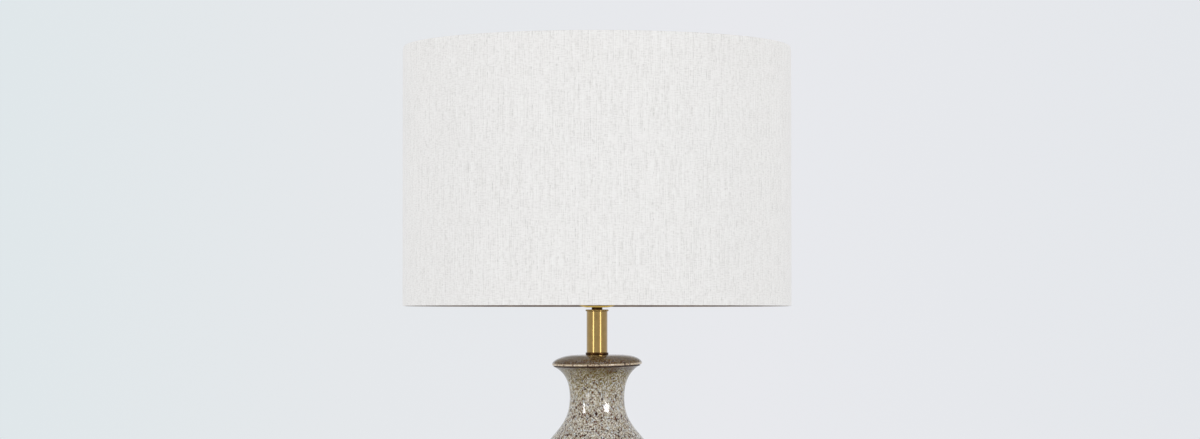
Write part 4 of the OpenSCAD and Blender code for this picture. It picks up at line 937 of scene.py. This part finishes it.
# Matt paint, which fades out between 0.8 and 1.9 m from the lamp.
painted, tree, shader = material(
    "Painted studio floor", {"Base Color": "#E3E4E6", "Roughness": 0.9, "Specular IOR Level": 0.1}
)
place = add(tree, "ShaderNodeTexCoord").outputs["Object"]
reach = add(tree, "ShaderNodeVectorMath", {0: place}, operation="LENGTH").outputs["Value"]
fade = add(tree, "ShaderNodeMapRange", {0: reach}, {1: 0.8, 2: 1.9}, interpolation_type="SMOOTHSTEP")
under = add(tree, "ShaderNodeNewGeometry").outputs["Backfacing"]
seen = add(tree, "ShaderNodeLightPath").outputs["Is Camera Ray"]
under = add(tree, "ShaderNodeMath", {0: under, 1: seen}, operation="MULTIPLY")
fade = add(tree, "ShaderNodeMath", {0: fade, 1: under}, operation="MAXIMUM")
clear = add(tree, "ShaderNodeBsdfTransparent")
blend = add(tree, "ShaderNodeMixShader", {0: fade, 1: shader, 2: clear})
tree.links.new(blend.outputs[0], tree.nodes["Material Output"].inputs[0])
floor_mesh.materials.append(painted)

# The camera, gloss and glass see a faintly uneven backdrop, and plain pale grey lights the object.
world = bpy.data.worlds.new("Studio")
bpy.context.scene.world = world
world.use_nodes = True
tree = world.node_tree
sky = tree.nodes["Background"]
way = add(tree, "ShaderNodeTexCoord").outputs["Generated"]
side = add(tree, "ShaderNodeSeparateXYZ", {0: way}).outputs["X"]
side = add(tree, "ShaderNodeMapRange", {0: side}, {1: -0.42, 2: 0.42})
backdrop = [(0, "#E5E8EB"), (1, "#E5E8EB"), (0.25, "#DFE7EA"), (0.4, "#E5E8EB"), (0.55, "#E8E9ED")]
pale = add(tree, "ShaderNodeValToRGB", {0: side}, stops=[*backdrop, (0.75, "#E4E7EB")])
seen = add(tree, "ShaderNodeLightPath").outputs
shown = seen["Is Camera Ray"]
for ray in ("Is Glossy Ray", "Is Transmission Ray"):
    shown = add(tree, "ShaderNodeMath", {0: shown, 1: seen[ray]}, operation="MAXIMUM")
around = add(tree, "ShaderNodeMix", {0: shown, 7: pale}, {6: colour("#EBECEE")}, data_type="RGBA")
tree.links.new(around.outputs[2], sky.inputs["Color"])


def soft_box(name, azimuth, distance, height, width, tall, power, seen_by="both"):
    """Soft light at an azimuth in degrees right of the camera's axis, aimed at the neck."""
    aim = Vector((0, 0, 0.35))
    light = bpy.data.lights.new(name, "AREA")
    light.shape, light.size, light.size_y, light.energy = "RECTANGLE", width, tall, power
    lamp = bpy.data.objects.new(name, light)
    bpy.context.scene.collection.objects.link(lamp)
    a = math.radians(azimuth)
    lamp.location = (distance * math.sin(a), -distance * math.cos(a), height)
    lamp.rotation_euler = (lamp.location - aim).to_track_quat("Z", "Y").to_euler()
    lamp.visible_diffuse, lamp.visible_glossy = seen_by != "glossy", seen_by != "diffuse"


# Azimuth in degrees; distance, height, width and tallness in metres; watts.
soft_box("left_fill", -100, 2.2, 0.6, 1.2, 1.3, 2.2, "diffuse")
soft_box("right_fill", 100, 2.2, 0.6, 1.2, 1.3, 1.8, "diffuse")
soft_box("left_panel", -40, 2.4, 0.5, 0.48, 1.2, 6.5)
soft_box("right_panel", 38.5, 2.4, 0.5, 0.48, 1.2, 6.5)
soft_box("left_window", -56, 2.6, 1.12, 0.3, 0.95, 22, "glossy")
soft_box("right_window", 41, 2.6, 1.12, 1.1, 0.9, 56, "glossy")

# The camera stands 13 mm below the shade's lower edge, from where the far rim shows as a thin dark
# line, and 3 mm to the right, because the lamp stands a little left in the photo.
lens = bpy.data.cameras.new("camera")
camera = bpy.data.objects.new("camera", lens)
bpy.context.scene.collection.objects.link(camera)
lens.sensor_width, lens.lens, lens.shift_y = 36, 92.45, 0.03
camera.location = (0.0031, -3.227, 0.402)
look_up = math.radians(1.171)
camera.rotation_euler = (math.pi / 2 + look_up, 0, 0)
bpy.context.scene.camera = camera
bpy.context.scene.view_settings.view_transform = "Standard"
